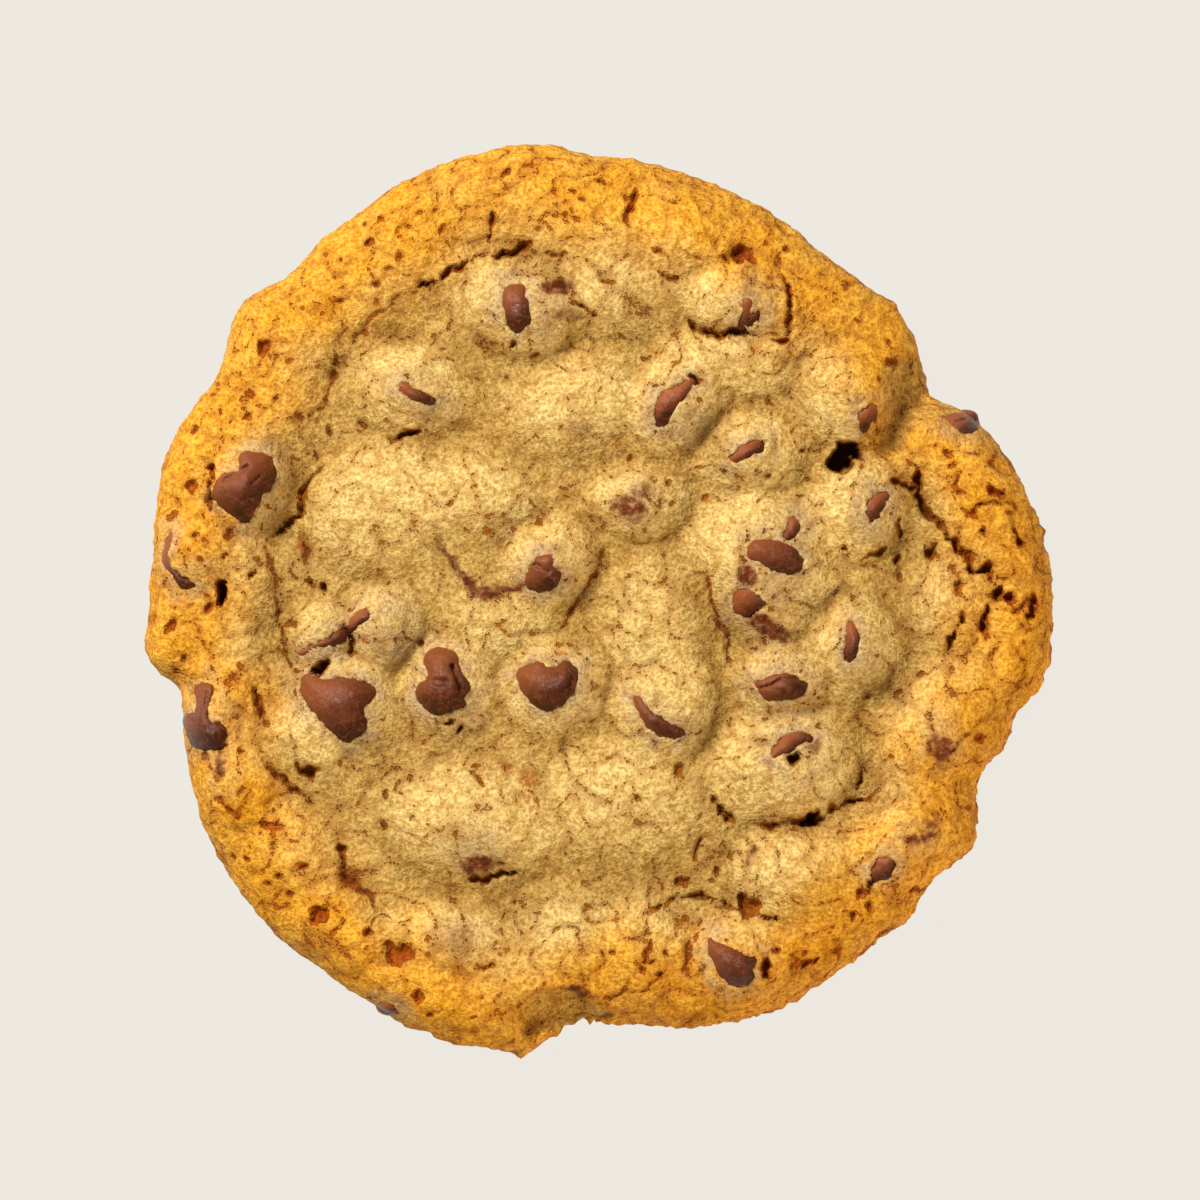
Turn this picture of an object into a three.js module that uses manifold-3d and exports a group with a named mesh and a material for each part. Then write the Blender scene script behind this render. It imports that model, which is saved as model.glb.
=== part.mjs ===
// A chocolate chip cookie, lying flat, 100 mm across.
// The dough has baked into one thin round: a flat base, a rounded rim, and a top crust that rises in a mound
// over each chip, is cracked between the mounds and is pitted by burst bubbles.
// Each place where chocolate shows is a chip of its own, seated in a pocket in the dough.
// Millimetres, +Z up, with the origin under the middle of the cookie, on the surface that it lies on.
// +X is the right of the cookie as seen from above and +Y is its far side.

import * as THREE from "three";
import { mergeVertices } from "three/addons/utils/BufferGeometryUtils.js";
import Module from "manifold-3d";

// Driving sizes of the dough.
const rimHeight = 6.4;
const bellyHeight = 1.7;
const shoulderWidth = 4.0;
const footInset = 1.1;

// The crust just inside the rim swells to a low crest. Mounds that touch run into each other.
const crestInset = 8;
const crestWidth = 7;
const crestRise = 1;
const moundSteepness = 1.7;
const moundMerge = 2.4;

// Mesh of the dough: rings out to the rim, closer together towards it, with six more points on each ring.
const ringCount = 23;
const ringCrowding = 1.2;

// Fit of the chips and the shape of the cuts.
const pocketGap = 0.3;
const chipDepthShare = 0.9;
const chipDepthLeast = 0.55;
const chipRise = 0.45;
const largestSliver = 1.47;
const sliverSides = 6;
const bladeRise = 1.5;

// The rim seen from above, as [degrees from +X, distance from the origin].
// Between the turns that these points mark, the rim is one smooth curve.
const rimTurns = [
  [0, 50.3], [9, 49.6], [17, 48.5], [23, 47.0], [28, 45.2], [31.5, 43.3], [35, 43.9], [39, 45.3],
  [44, 46.0], [54, 45.6], [66, 46.9], [78, 48.1], [91, 49.4], [97, 50.8], [103, 51.1], [116, 51.0],
  [126, 50.2], [134, 49.9], [140, 51.4], [145, 50.2], [150, 49.1], [160, 50.5], [170, 49.9], [180, 49.7],
  [186, 50.6], [189, 49.7], [192, 47.5], [200, 48.9], [211, 50.6], [222, 51.4], [238, 51.1], [246, 51.6],
  [255, 51.2], [260.5, 51.0], [263.5, 48.9], [270, 47.0], [275, 47.0], [281, 48.2], [294, 49.3], [304, 48.6],
  [314, 49.1], [320, 48.3], [327, 49.4], [330.5, 47.9], [335, 46.4], [340, 47.6], [345, 47.8], [349.5, 50.0],
];

// Where the crust stands up over a chip or a lump of dough: [x, y, half length, half width, turn, height].
const mounds = [
  [-20.6, 23.3, 8.4, 6.1, -8, 3.2], [-10.9, 33.6, 8.7, 5.5, -18, 2.5], [-7.2, 31.0, 6.9, 5.8, 0, 3.4],
  [-38.2, 12.3, 6.1, 5.5, 0, 2.8], [-45.0, 5.7, 5.0, 5.5, 0, 1.7], [-24.1, 10.4, 11.6, 8.4, 8, 2.4],
  [-13.3, 11.6, 8.2, 6.6, -15, 1.8], [-5.2, 4.1, 6.6, 5.8, 30, 3.4], [-2.3, 21.7, 10.0, 7.7, 20, 2.0],
  [8.5, 21.7, 7.9, 6.3, 40, 3.5], [16.8, 15.8, 6.9, 5.8, 0, 3.4], [15.7, 32.9, 7.4, 5.3, 0, 2.8],
  [27.6, 22.6, 7.1, 6.6, 0, 3.2], [28.5, 9.6, 7.4, 6.3, 20, 3.1], [18.1, 4.3, 10.3, 9.2, -60, 3.9],
  [4.3, 10.9, 6.6, 5.0, 0, 2.8], [38.1, -0.6, 6.1, 5.8, 0, 1.7], [-42.6, -12.6, 5.5, 6.6, 0, 2.1],
  [-30.7, -4.0, 4.8, 5.0, 0, 2.8], [-23.9, -3.1, 5.8, 5.8, 0, 3.4], [-27.9, -11.1, 7.4, 6.6, -30, 3.1],
  [-16.4, -9.5, 6.6, 6.6, 0, 3.4], [-4.7, -9.5, 7.4, 6.6, 0, 3.6], [-39.7, -19.6, 5.5, 6.1, -20, 1.8],
  [-32.2, -15.7, 5.8, 6.9, 0, 2.2], [-13.5, -24.7, 11.4, 7.7, -10, 3.5], [-16.2, -36.9, 8.7, 5.0, -5, 2.2],
  [2.5, -22.3, 10.6, 8.7, 0, 2.1], [7.6, -11.7, 7.7, 7.1, 0, 3.4], [19.9, -9.1, 6.9, 5.0, 0, 3.4],
  [28.5, -5.3, 6.3, 6.6, 0, 3.2], [20.1, -18.3, 10.3, 7.9, 0, 3.6], [37.1, -15.2, 6.6, 6.6, 0, 2.5],
  [33.8, -27.6, 7.4, 6.1, 35, 2.5], [21.0, -29.8, 7.7, 6.1, 0, 3.4], [15.3, -39.7, 7.1, 5.8, 0, 2.5],
  [4.5, -37.7, 6.1, 7.1, 0, 1.7], [-3.6, -36.1, 6.6, 6.9, 0, 1.5], [8.9, 40.9, 7.7, 5.5, -20, 1.5],
  [13.8, 26.1, 9.8, 4.8, 0, 2.0], [5.8, -2.9, 7.7, 8.7, 0, 1.5], [-10.9, -2.5, 7.1, 5.5, 0, 1.4],
  [-32.9, -27.8, 6.1, 5.3, -50, 1.4], [-29.4, -35.9, 6.9, 5.3, -40, 1.3], [-19.2, -42.5, 8.2, 4.8, -20, 1.0],
  [42.5, 14.0, 6.9, 7.4, 0, 1.3], [45.4, -4.5, 4.8, 6.6, 0, 1.1], [39.9, -10.0, 6.1, 4.5, 0, 1.4],
  [0.1, 32.9, 7.9, 5.8, 0, 1.1],
];

// Where the crust sinks in broad folds, between the rim and the middle and among the mounds.
const folds = [
  { depth: 1.0, halfWidth: 6.5, path: [
    [-11.2, 38.8], [-15.1, 37.1], [-18.6, 34.0], [-22.3, 30.7], [-26.3, 28.8],
    [-28.9, 24.8], [-30.7, 20.8], [-32.3, 16.9], [-33.2, 12.0], [-33.8, 7.6],
  ] },
  { depth: 0.7, halfWidth: 4.7, path: [[-41.5, 8.7], [-41.5, 4.3], [-42.0, -1.2], [-42.6, -5.8], [-45.4, -9.1]] },
  { depth: 0.8, halfWidth: 5.0, path: [
    [-34.4, -0.1], [-34.9, -5.6], [-36.9, -10.0], [-36.4, -15.5], [-34.0, -20.1],
    [-31.1, -24.5], [-29.1, -28.9], [-26.9, -33.3], [-22.8, -37.0],
  ] },
  { depth: 0.5, halfWidth: 5.8, path: [[-19.7, -31.3], [-10.9, -32.6], [-4.3, -31.1], [2.3, -29.5], [11.1, -30.2]] },
  { depth: 0.7, halfWidth: 4.7, path: [
    [33.3, 10.9], [33.3, 4.3], [33.1, -2.3], [32.7, -7.5],
    [30.0, -12.2], [29.1, -17.7], [29.8, -22.5],
  ] },
  { depth: 0.7, halfWidth: 4.7, path: [[34.0, 15.9], [36.2, 10.9], [39.5, 5.7], [42.4, 0.8], [41.5, -5.6]] },
  { depth: 0.6, halfWidth: 5.0, path: [[0.3, 6.5], [-0.1, 1.0], [-1.9, -4.5]] },
  { depth: 0.7, halfWidth: 4.3, path: [[11.6, 1.0], [13.8, -4.0], [14.6, -8.9], [12.7, -15.5]] },
  { depth: 0.5, halfWidth: 5.0, path: [[-16.8, 18.0], [-8.7, 16.2], [0.1, 16.2], [10.2, 17.5]] },
  { depth: 0.5, halfWidth: 5.8, path: [[-14.2, 24.6], [-6.5, 26.8], [2.3, 27.9]] },
];

// Where a piece of the top has broken away and the dough lies lower: [x, y, half length, half width, turn, depth].
const scars = [
  [33.6, 21.2, 6.6, 3.5, 66, 2.2],
  [37.6, 21.6, 3.6, 2.4, -30, 1.3],
  [-4.8, -46.2, 6.0, 3.5, -6, 2.8],
];

// Open cracks, deepest at the middle of their length and closing at both ends.
const cracks = [
  { depth: 2.0, width: 1.5, path: [[-24.4, 31.4], [-20.0, 35.4], [-16.8, 36.6], [-14.4, 37.4], [-11.8, 38.4]] },
  { depth: 1.5, width: 0.9, path: [[-11.6, 37.4], [-8.2, 38.9], [-5.8, 38.2], [-3.8, 37.9]] },
  { depth: 1.8, width: 1.1, path: [[8.8, 30.6], [11.8, 29.3], [15.6, 29.5], [19.9, 28.4]] },
  { depth: 1.5, width: 0.9, path: [[20.0, 36.3], [20.9, 33.6], [20.9, 28.8]] },
  { depth: 1.5, width: 0.9, path: [[-42.3, 15.2], [-42.6, 12.4], [-42.3, 9.6], [-40.4, 7.0]] },
  { depth: 1.3, width: 0.9, path: [[-30.0, 16.6], [-32.4, 13.4], [-33.2, 10.6], [-36.2, 7.0]] },
  { depth: 1.4, width: 1.0, path: [[11.7, 3.6], [12.5, -0.2], [14.2, -4.4], [14.6, -7.8]] },
  { depth: 1.2, width: 1.1, path: [[0.8, 6.2], [-0.8, 2.0], [-2.2, -1.4], [-5.0, -4.4]] },
  { depth: 2.0, width: 1.2, path: [[34.0, 15.4], [35.4, 11.4], [37.6, 8.0], [40.8, 4.2], [43.2, 2.4], [45.8, 0.2]] },
  { depth: 1.5, width: 0.9, path: [[42.8, 0.6], [42.0, -3.2], [42.6, -6.4]] },
  { depth: 1.5, width: 0.9, path: [[40.2, -1.0], [38.8, -3.9], [38.5, -6.4]] },
  { depth: 2.0, width: 1.2, path: [[13.8, -23.4], [17.6, -24.9], [22.6, -24.3], [25.6, -23.2], [30.6, -21.2]] },
  { depth: 1.7, width: 1.2, path: [[-37.8, -10.0], [-36.3, -14.2], [-36.6, -17.6], [-33.4, -20.8], [-30.6, -23.4]] },
  { depth: 1.4, width: 1.0, path: [[-29.4, -25.2], [-28.2, -29.6], [-25.2, -32.6], [-24.8, -34.4]] },
  { depth: 1.8, width: 0.9, path: [[-15.6, -29.8], [-12.8, -30.8], [-8.6, -29.2]] },
  { depth: 1.2, width: 0.8, path: [[4.0, -34.9], [7.6, -33.2], [11.2, -32.3], [15.8, -34.4]] },
];

// Burst bubbles and crumbled spots: [x, y, half length, half width, turn, depth].
const pits = [
  [27.0, 15.8, 2.0, 1.5, 25, 4.4], [23.4, -24.2, 1.3, 0.9, 10, 3.4], [-41.4, 0.6, 1.6, 0.7, 80, 3.2],
  [-21.2, 18.1, 1.7, 0.6, 12, 2.8], [-30.6, -7.5, 1.5, 0.7, 60, 2.6], [-21.6, -38.5, 1.7, 1.3, -20, 1.8],
  [-30.6, -34.7, 1.4, 1.1, 50, 1.7], [15.6, 38.3, 1.8, 1.2, 0, 1.6], [-32.1, -18.7, 1.3, 0.8, -10, 1.6],
  [16.5, -33.5, 1.2, 1.1, 60, 2.4], [43.6, 11.9, 1.0, 0.7, -10, 1.8], [46.4, 6.9, 1.3, 0.7, -60, 1.8],
  [-19.9, -43.6, 0.9, 0.7, -50, 2.4], [3.1, 41.9, 1.0, 0.6, 70, 2.2], [-7.8, 39.2, 0.9, 0.6, 20, 2.4],
];

// The chocolate that shows, chip by chip, as lobes that run into each other: [x, y, radius].
const chips = [
  [[-9.0, 33.2, 1.3], [-8.9, 31.6, 1.45], [-8.6, 30.2, 1.0]],
  [[16.8, 32.1, 0.8], [16.3, 30.7, 1.0], [15.4, 30.2, 0.7]],
  [[6.8, 20.1, 0.9], [7.8, 21.3, 1.2], [9.3, 23.0, 0.9]],
  [[-21.4, 23.4, 0.5], [-20.3, 22.8, 0.65], [-19.0, 22.2, 0.6]],
  [[15.2, 16.0, 0.6], [16.1, 16.8, 0.8], [17.4, 16.4, 0.6]],
  [[29.8, 20.7, 0.8], [29.1, 19.4, 0.8]],
  [[37.9, 19.7, 0.7], [39.2, 19.2, 1.0], [40.4, 19.1, 1.0]],
  [[-37.1, 14.0, 2.0], [-38.4, 12.7, 1.7], [-39.7, 10.9, 2.4]],
  [[-47.2, 6.6, 0.5], [-47.4, 4.9, 0.65], [-46.7, 2.9, 0.75], [-45.3, 1.8, 0.5]],
  [[-26.8, -2.9, 0.5], [-26.1, -1.9, 0.65], [-25.3, -1.5, 0.5]],
  [[-32.6, -5.6, 0.4], [-31.1, -5.0, 0.45], [-29.7, -4.5, 0.55], [-28.4, -3.8, 0.65]],
  [[-30.9, -9.7, 1.6], [-28.5, -10.0, 1.8], [-25.9, -9.7, 1.2], [-28.7, -11.9, 1.9], [-27.7, -13.9, 1.7]],
  [[-17.7, -7.1, 1.7], [-17.1, -10.4, 2.4], [-15.3, -9.2, 1.0]],
  [[-43.2, -10.5, 1.1], [-43.5, -12.4, 1.0], [-43.6, -14.2, 2.1]],
  [[-6.4, 3.7, 1.0], [-6.4, 2.5, 1.65]],
  [[-6.8, -8.7, 1.9], [-3.9, -8.4, 1.5], [-5.5, -10.2, 1.7]],
  [[4.3, -11.5, 0.65], [5.4, -12.6, 1.0], [6.9, -13.7, 1.1], [8.5, -14.1, 0.8]],
  [[17.6, 5.5, 1.0], [19.4, 5.0, 1.4], [21.0, 4.1, 1.2]],
  [[21.6, 8.5, 0.8], [20.9, 7.1, 0.65]],
  [[16.3, 2.2, 0.7], [15.4, -0.1, 1.0], [16.4, -1.2, 0.9]],
  [[31.1, 11.2, 0.85], [30.3, 10.1, 1.0], [29.6, 8.9, 0.65]],
  [[27.6, -3.1, 0.65], [27.7, -4.7, 0.85], [27.6, -6.2, 0.65]],
  [[18.1, -9.8, 0.9], [19.8, -9.6, 1.3], [21.7, -9.3, 1.1]],
  [[19.7, -16.6, 0.8], [20.8, -15.5, 1.1], [22.6, -15.3, 0.75]],
  [[31.1, -28.9, 1.1], [30.6, -30.4, 0.8]],
  [[13.3, -38.3, 1.1], [14.6, -39.8, 1.65], [15.5, -41.2, 1.4]],
  [[-24.1, -44.7, 0.9], [-22.8, -45.3, 0.75]],
];

const degrees = Math.PI / 180;
const clamp = THREE.MathUtils.clamp;

// Distance from the origin to the rim in a direction, on a smooth closed curve through the rim's turns.
function rimDistance(angle) {
  const turned = ((angle / degrees) % 360 + 360) % 360;
  const count = rimTurns.length;
  let after = rimTurns.findIndex((turn) => turn[0] > turned);
  if (after < 0) after = count;
  const [a, b, c, d] = [-2, -1, 0, 1].map((step) => {
    const place = after + step;
    const lap = Math.floor(place / count);
    const [at, distance] = rimTurns[place - lap * count];
    return [at + 360 * lap, distance];
  });
  const share = (turned - b[0]) / (c[0] - b[0]);
  const slopeIn = (c[1] - a[1]) / (c[0] - a[0]) * (c[0] - b[0]);
  const slopeOut = (d[1] - b[1]) / (d[0] - b[0]) * (c[0] - b[0]);
  const s2 = share * share;
  const s3 = s2 * share;
  return (2 * s3 - 3 * s2 + 1) * b[1] + (s3 - 2 * s2 + share) * slopeIn
    + (3 * s2 - 2 * s3) * c[1] + (s3 - s2) * slopeOut;
}

// Distance from a point to a line of straight stretches.
function distanceToPath(x, y, path) {
  let nearest = Infinity;
  for (let i = 0; i + 1 < path.length; i++) {
    const [ax, ay] = path[i];
    const [bx, by] = path[i + 1];
    const along = ((x - ax) * (bx - ax) + (y - ay) * (by - ay)) / ((bx - ax) ** 2 + (by - ay) ** 2);
    const t = clamp(along, 0, 1);
    nearest = Math.min(nearest, Math.hypot(x - ax - t * (bx - ax), y - ay - t * (by - ay)));
  }
  return nearest;
}

// Place of a point inside a turned oval: 0 at its middle and 1 on its edge.
function ovalShare(x, y, [cx, cy, long, wide, turn]) {
  const cos = Math.cos(turn * degrees);
  const sin = Math.sin(turn * degrees);
  const u = ((x - cx) * cos + (y - cy) * sin) / long;
  const v = ((y - cy) * cos - (x - cx) * sin) / wide;
  return Math.hypot(u, v);
}

// A soft swelling and a steeper-sided mound, both 1 in the middle and 0 from the edge on.
const bump = (share) => (1 - Math.min(share, 1) ** 2) ** 2;
const dome = (share) => (1 - Math.min(share, 1) ** 2) ** moundSteepness;

// Height of the top crust over a point, before the cracks, pits and pockets are cut.
function crustHeight(x, y) {
  const inset = Math.max(rimDistance(Math.atan2(y, x)) - Math.hypot(x, y), 0);
  const shoulder = Math.sqrt(1 - (1 - Math.min(inset / shoulderWidth, 1)) ** 2);
  let relief = crestRise * bump(Math.abs(inset - crestInset) / crestWidth);
  let raised = 0;
  for (const mound of mounds) {
    raised += (mound[5] * dome(ovalShare(x, y, mound))) ** moundMerge;
  }
  relief += raised ** (1 / moundMerge);
  for (const { depth, halfWidth, path } of folds) {
    relief -= depth * bump(distanceToPath(x, y, path) / halfWidth);
  }
  for (const scar of scars) {
    relief -= scar[5] * (1 - Math.min(ovalShare(x, y, scar), 1) ** 2);
  }
  return bellyHeight + (rimHeight - bellyHeight + relief) * shoulder;
}

// Shared vertices merged, ready for a solid.
function merged(points, faces) {
  const geometry = new THREE.BufferGeometry();
  geometry.setAttribute("position", new THREE.Float32BufferAttribute(points.flat(), 3));
  geometry.setIndex(faces.flat());
  return mergeVertices(geometry, 1e-4);
}

// The whole round of dough: crust, rim, foot and flat base.
function doughGeometry() {
  const points = [[0, 0, crustHeight(0, 0)]];
  const starts = [0];
  const faces = [];
  for (let ring = 1; ring <= ringCount; ring++) {
    starts.push(points.length);
    const share = 1 - (1 - ring / ringCount) ** ringCrowding;
    for (let i = 0; i < 6 * ring; i++) {
      const angle = (i / (6 * ring)) * 2 * Math.PI;
      const reach = share * rimDistance(angle);
      const x = reach * Math.cos(angle);
      const y = reach * Math.sin(angle);
      points.push([x, y, crustHeight(x, y)]);
    }
  }
  for (let ring = 1; ring <= ringCount; ring++) {
    const [outer, inner] = [starts[ring], starts[ring - 1]];
    const [outerCount, innerCount] = [6 * ring, Math.max(6 * (ring - 1), 1)];
    for (let side = 0; side < 6; side++) {
      for (let i = 0; i < ring; i++) {
        const a = outer + side * ring + i;
        const b = outer + ((side * ring + i + 1) % outerCount);
        const c = inner + ((side * (ring - 1) + i) % innerCount);
        faces.push([a, b, c]);
        if (i + 1 < ring) {
          const d = inner + ((side * (ring - 1) + i + 1) % innerCount);
          faces.push([c, b, d]);
        }
      }
    }
  }
  const around = 6 * ringCount;
  let upper = starts[ringCount];
  for (const [inset, height] of [[0.35 * footInset, 0.35 * bellyHeight], [footInset, 0]]) {
    const lower = points.length;
    for (let i = 0; i < around; i++) {
      const angle = (i / around) * 2 * Math.PI;
      const reach = rimDistance(angle) - inset;
      points.push([reach * Math.cos(angle), reach * Math.sin(angle), height]);
    }
    for (let i = 0; i < around; i++) {
      const next = (i + 1) % around;
      faces.push([upper + i, lower + i, upper + next]);
      faces.push([upper + next, lower + i, lower + next]);
    }
    upper = lower;
  }
  const middle = points.push([0, 0, 0]) - 1;
  for (let i = 0; i < around; i++) {
    faces.push([upper + ((i + 1) % around), upper + i, middle]);
  }
  return merged(points, faces);
}

// The wedge that opens a crack: its edge runs under the crust and its back lies above it.
function crackGeometry({ path, depth, width }) {
  const points = [];
  const faces = [];
  const last = path.length - 1;
  path.forEach(([x, y], i) => {
    const [bx, by] = path[Math.max(i - 1, 0)];
    const [ax, ay] = path[Math.min(i + 1, last)];
    const length = Math.hypot(ax - bx, ay - by);
    const open = i === 0 || i === last ? 0.25 : 1;
    const crust = crustHeight(x, y);
    const half = 0.5 * width * open * (1 + bladeRise / depth);
    const [sideX, sideY] = [(-(ay - by) / length) * half, ((ax - bx) / length) * half];
    points.push([x + sideX, y + sideY, crust + bladeRise]);
    points.push([x - sideX, y - sideY, crust + bladeRise]);
    points.push([x, y, crust - depth * open]);
  });
  for (let i = 0; i < last; i++) {
    const [l, r, e, nl, nr, ne] = [0, 1, 2, 3, 4, 5].map((k) => 3 * i + k);
    faces.push([l, r, nr], [l, nr, nl], [r, e, ne], [r, ne, nr], [e, l, nl], [e, nl, ne]);
  }
  const end = 3 * last;
  faces.push([0, 2, 1], [end, end + 1, end + 2]);
  return merged(points, faces);
}

// A ball with few faces, stretched to an oval and sunk to a pit's depth.
function pitGeometry([x, y, long, wide, turn, depth]) {
  const ball = new THREE.IcosahedronGeometry(1, 1);
  ball.scale(long, wide, depth);
  ball.rotateZ(turn * degrees);
  ball.translate(x, y, crustHeight(x, y));
  return bare(ball);
}

function bare(geometry) {
  geometry.deleteAttribute("normal");
  geometry.deleteAttribute("uv");
  return mergeVertices(geometry, 1e-4);
}

// A lump of chocolate: a ball pushed out from the chip's middle to the skin round its lobes.
function lumpGeometry(lobes, grow) {
  const total = lobes.reduce((sum, lobe) => sum + lobe[2], 0);
  const cx = lobes.reduce((sum, lobe) => sum + lobe[0] * lobe[2], 0) / total;
  const cy = lobes.reduce((sum, lobe) => sum + lobe[1] * lobe[2], 0) / total;
  const depth = chipDepth(lobes);
  const cz = crustHeight(cx, cy) + chipRise - depth;
  const [first, last] = [lobes[0], lobes[lobes.length - 1]];
  const along = Math.atan2(last[1] - first[1], last[0] - first[0]);
  const reach = Math.max(...lobes.map((lobe) => Math.hypot(lobe[0] - cx, lobe[1] - cy) + lobe[2]));
  const widest = Math.max(...lobes.map((lobe) => lobe[2]));

  // Positive inside the skin: the lobes' bells add up, so neighbours flow into one another.
  const inside = (x, y, z) => {
    let sum = 0;
    for (const [lx, ly, radius] of lobes) {
      const flat = ((x - lx) ** 2 + (y - ly) ** 2) / (radius + grow) ** 2;
      sum += Math.exp(1.6 * (1 - flat - ((z - cz) / (depth + grow)) ** 2));
    }
    return sum - 1;
  };

  const ball = bare(new THREE.IcosahedronGeometry(1, 2));
  const place = ball.getAttribute("position");
  const ray = new THREE.Vector3();
  for (let i = 0; i < place.count; i++) {
    ray.fromBufferAttribute(place, i);
    ray.set(ray.x * reach, ray.y * widest, ray.z * depth).applyAxisAngle(new THREE.Vector3(0, 0, 1), along);
    let [near, far] = [0, 3];
    for (let step = 0; step < 24; step++) {
      const middle = (near + far) / 2;
      if (inside(cx + ray.x * middle, cy + ray.y * middle, cz + ray.z * middle) > 0) near = middle;
      else far = middle;
    }
    place.setXYZ(i, cx + ray.x * near, cy + ray.y * near, cz + ray.z * near);
  }
  return ball;
}

// A sliver of chocolate: an oval section swept along the smooth line through its lobes, with round ends.
function sliverGeometry(lobes, grow) {
  const line = new THREE.CatmullRomCurve3(lobes.map(([x, y]) => new THREE.Vector3(x, y, 0)));
  const stretches = lobes.length - 1;
  const depth = chipDepth(lobes) + grow;
  const middle = line.getPoint(0.5);
  const level = crustHeight(middle.x, middle.y) + chipRise - chipDepth(lobes);
  const points = [];
  const addRing = (centre, forward, radius, share) => {
    for (let k = 0; k < sliverSides; k++) {
      const turn = (k / sliverSides) * 2 * Math.PI;
      const aside = radius * share * Math.cos(turn);
      points.push([centre.x - forward.y * aside, centre.y + forward.x * aside, level + depth * share * Math.sin(turn)]);
    }
  };
  const endRing = (t, way, slope) => {
    const radius = lobes[t * stretches][2] + grow;
    const forward = line.getTangent(t);
    const out = forward.clone().multiplyScalar(way * radius * Math.sin(slope));
    addRing(line.getPoint(t).add(out), forward, radius, Math.cos(slope));
  };
  const tip = (t, way) => {
    const out = line.getTangent(t).multiplyScalar(way * (lobes[t * stretches][2] + grow));
    const place = line.getPoint(t).add(out);
    return points.push([place.x, place.y, level]) - 1;
  };

  endRing(0, -1, 45 * degrees);
  for (let i = 0; i <= 2 * stretches; i++) {
    const t = i / (2 * stretches);
    const [before, after] = [lobes[Math.floor(i / 2)][2], lobes[Math.ceil(i / 2)][2]];
    addRing(line.getPoint(t), line.getTangent(t), (before + after) / 2 + grow, 1);
  }
  endRing(1, 1, 45 * degrees);

  const rings = points.length / sliverSides;
  const [back, front] = [tip(0, -1), tip(1, 1)];
  const faces = [];
  for (let k = 0; k < sliverSides; k++) {
    const next = (k + 1) % sliverSides;
    for (let i = 0; i + 1 < rings; i++) {
      const [a, b] = [i * sliverSides + k, i * sliverSides + next];
      faces.push([a, b, b + sliverSides], [a, b + sliverSides, a + sliverSides]);
    }
    const outermost = (rings - 1) * sliverSides;
    faces.push([back, next, k], [front, outermost + k, outermost + next]);
  }
  return merged(points, faces);
}

const chipDepth = (lobes) => chipDepthShare * Math.max(...lobes.map((lobe) => lobe[2])) + chipDepthLeast;

// A chip is a lump or a sliver by its widest lobe. Grown by the pocket's gap, the same shape cuts its pocket.
function chipGeometry(lobes, grow) {
  const widest = Math.max(...lobes.map((lobe) => lobe[2]));
  return widest > largestSliver ? lumpGeometry(lobes, grow) : sliverGeometry(lobes, grow);
}

const wasm = await Module();
wasm.setup();

function solidFrom(geometry) {
  return new wasm.Manifold(new wasm.Mesh({
    numProp: 3,
    vertProperties: new Float32Array(geometry.getAttribute("position").array),
    triVerts: new Uint32Array(geometry.index.array),
  }));
}

function geometryFrom(solid) {
  const mesh = solid.getMesh();
  const geometry = new THREE.BufferGeometry();
  geometry.setAttribute("position", new THREE.Float32BufferAttribute(mesh.vertProperties, 3));
  geometry.setIndex(new THREE.Uint32BufferAttribute(mesh.triVerts, 1));
  geometry.computeVertexNormals();
  return geometry;
}

// The dough with its cracks, pits and pockets. Where cuts meet and free a crumb, the crumb is dropped.
function cutDough() {
  let dough = solidFrom(doughGeometry());
  for (const crack of cracks) dough = dough.subtract(solidFrom(crackGeometry(crack)));
  for (const pit of pits) dough = dough.subtract(solidFrom(pitGeometry(pit)));
  for (const lobes of chips) dough = dough.subtract(solidFrom(chipGeometry(lobes, pocketGap)));
  const pieces = dough.decompose();
  return pieces.reduce((largest, piece) => (piece.volume() > largest.volume() ? piece : largest));
}

const crust = new THREE.MeshStandardMaterial({ color: 0xd9a648, roughness: 0.85, metalness: 0 });
const chocolate = new THREE.MeshStandardMaterial({ color: 0x6b3d2e, roughness: 0.45, metalness: 0 });

const cookie = new THREE.Group();
const dough = new THREE.Mesh(geometryFrom(cutDough()), crust);
dough.name = "dough";
cookie.add(dough);

chips.forEach((lobes, i) => {
  const chip = new THREE.Mesh(chipGeometry(lobes, 0), chocolate);
  chip.name = `chip_${String(i + 1).padStart(2, "0")}`;
  cookie.add(chip);
});

export default cookie;
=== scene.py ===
# A chocolate chip cookie, 100 mm across, lying flat and seen from above.
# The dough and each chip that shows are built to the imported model's places and sizes.

import bpy
import numpy as np
from mathutils.geometry import delaunay_2d_cdt
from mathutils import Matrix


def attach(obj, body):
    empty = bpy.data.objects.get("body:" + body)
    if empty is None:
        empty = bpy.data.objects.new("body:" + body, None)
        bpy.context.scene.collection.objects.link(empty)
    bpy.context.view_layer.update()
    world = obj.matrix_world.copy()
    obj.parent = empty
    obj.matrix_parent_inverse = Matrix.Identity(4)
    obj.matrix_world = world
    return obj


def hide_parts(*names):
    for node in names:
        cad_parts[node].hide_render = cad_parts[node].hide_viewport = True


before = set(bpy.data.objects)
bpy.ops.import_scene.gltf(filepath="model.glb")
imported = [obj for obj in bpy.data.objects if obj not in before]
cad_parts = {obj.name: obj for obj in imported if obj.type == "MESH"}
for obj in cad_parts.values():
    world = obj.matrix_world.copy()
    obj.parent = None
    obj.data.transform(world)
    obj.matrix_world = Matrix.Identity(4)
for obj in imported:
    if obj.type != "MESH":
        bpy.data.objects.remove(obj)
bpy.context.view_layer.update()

# The round of dough: flour, butter and brown sugar, scooped as a ball that melted and spread on the tray.
# Its base set flat, its edge rounded over, and its top rose over the chips, sank between them and cracked.
# All sizes are in millimetres until the mesh is made, with x to the right and y to the far side.

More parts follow.
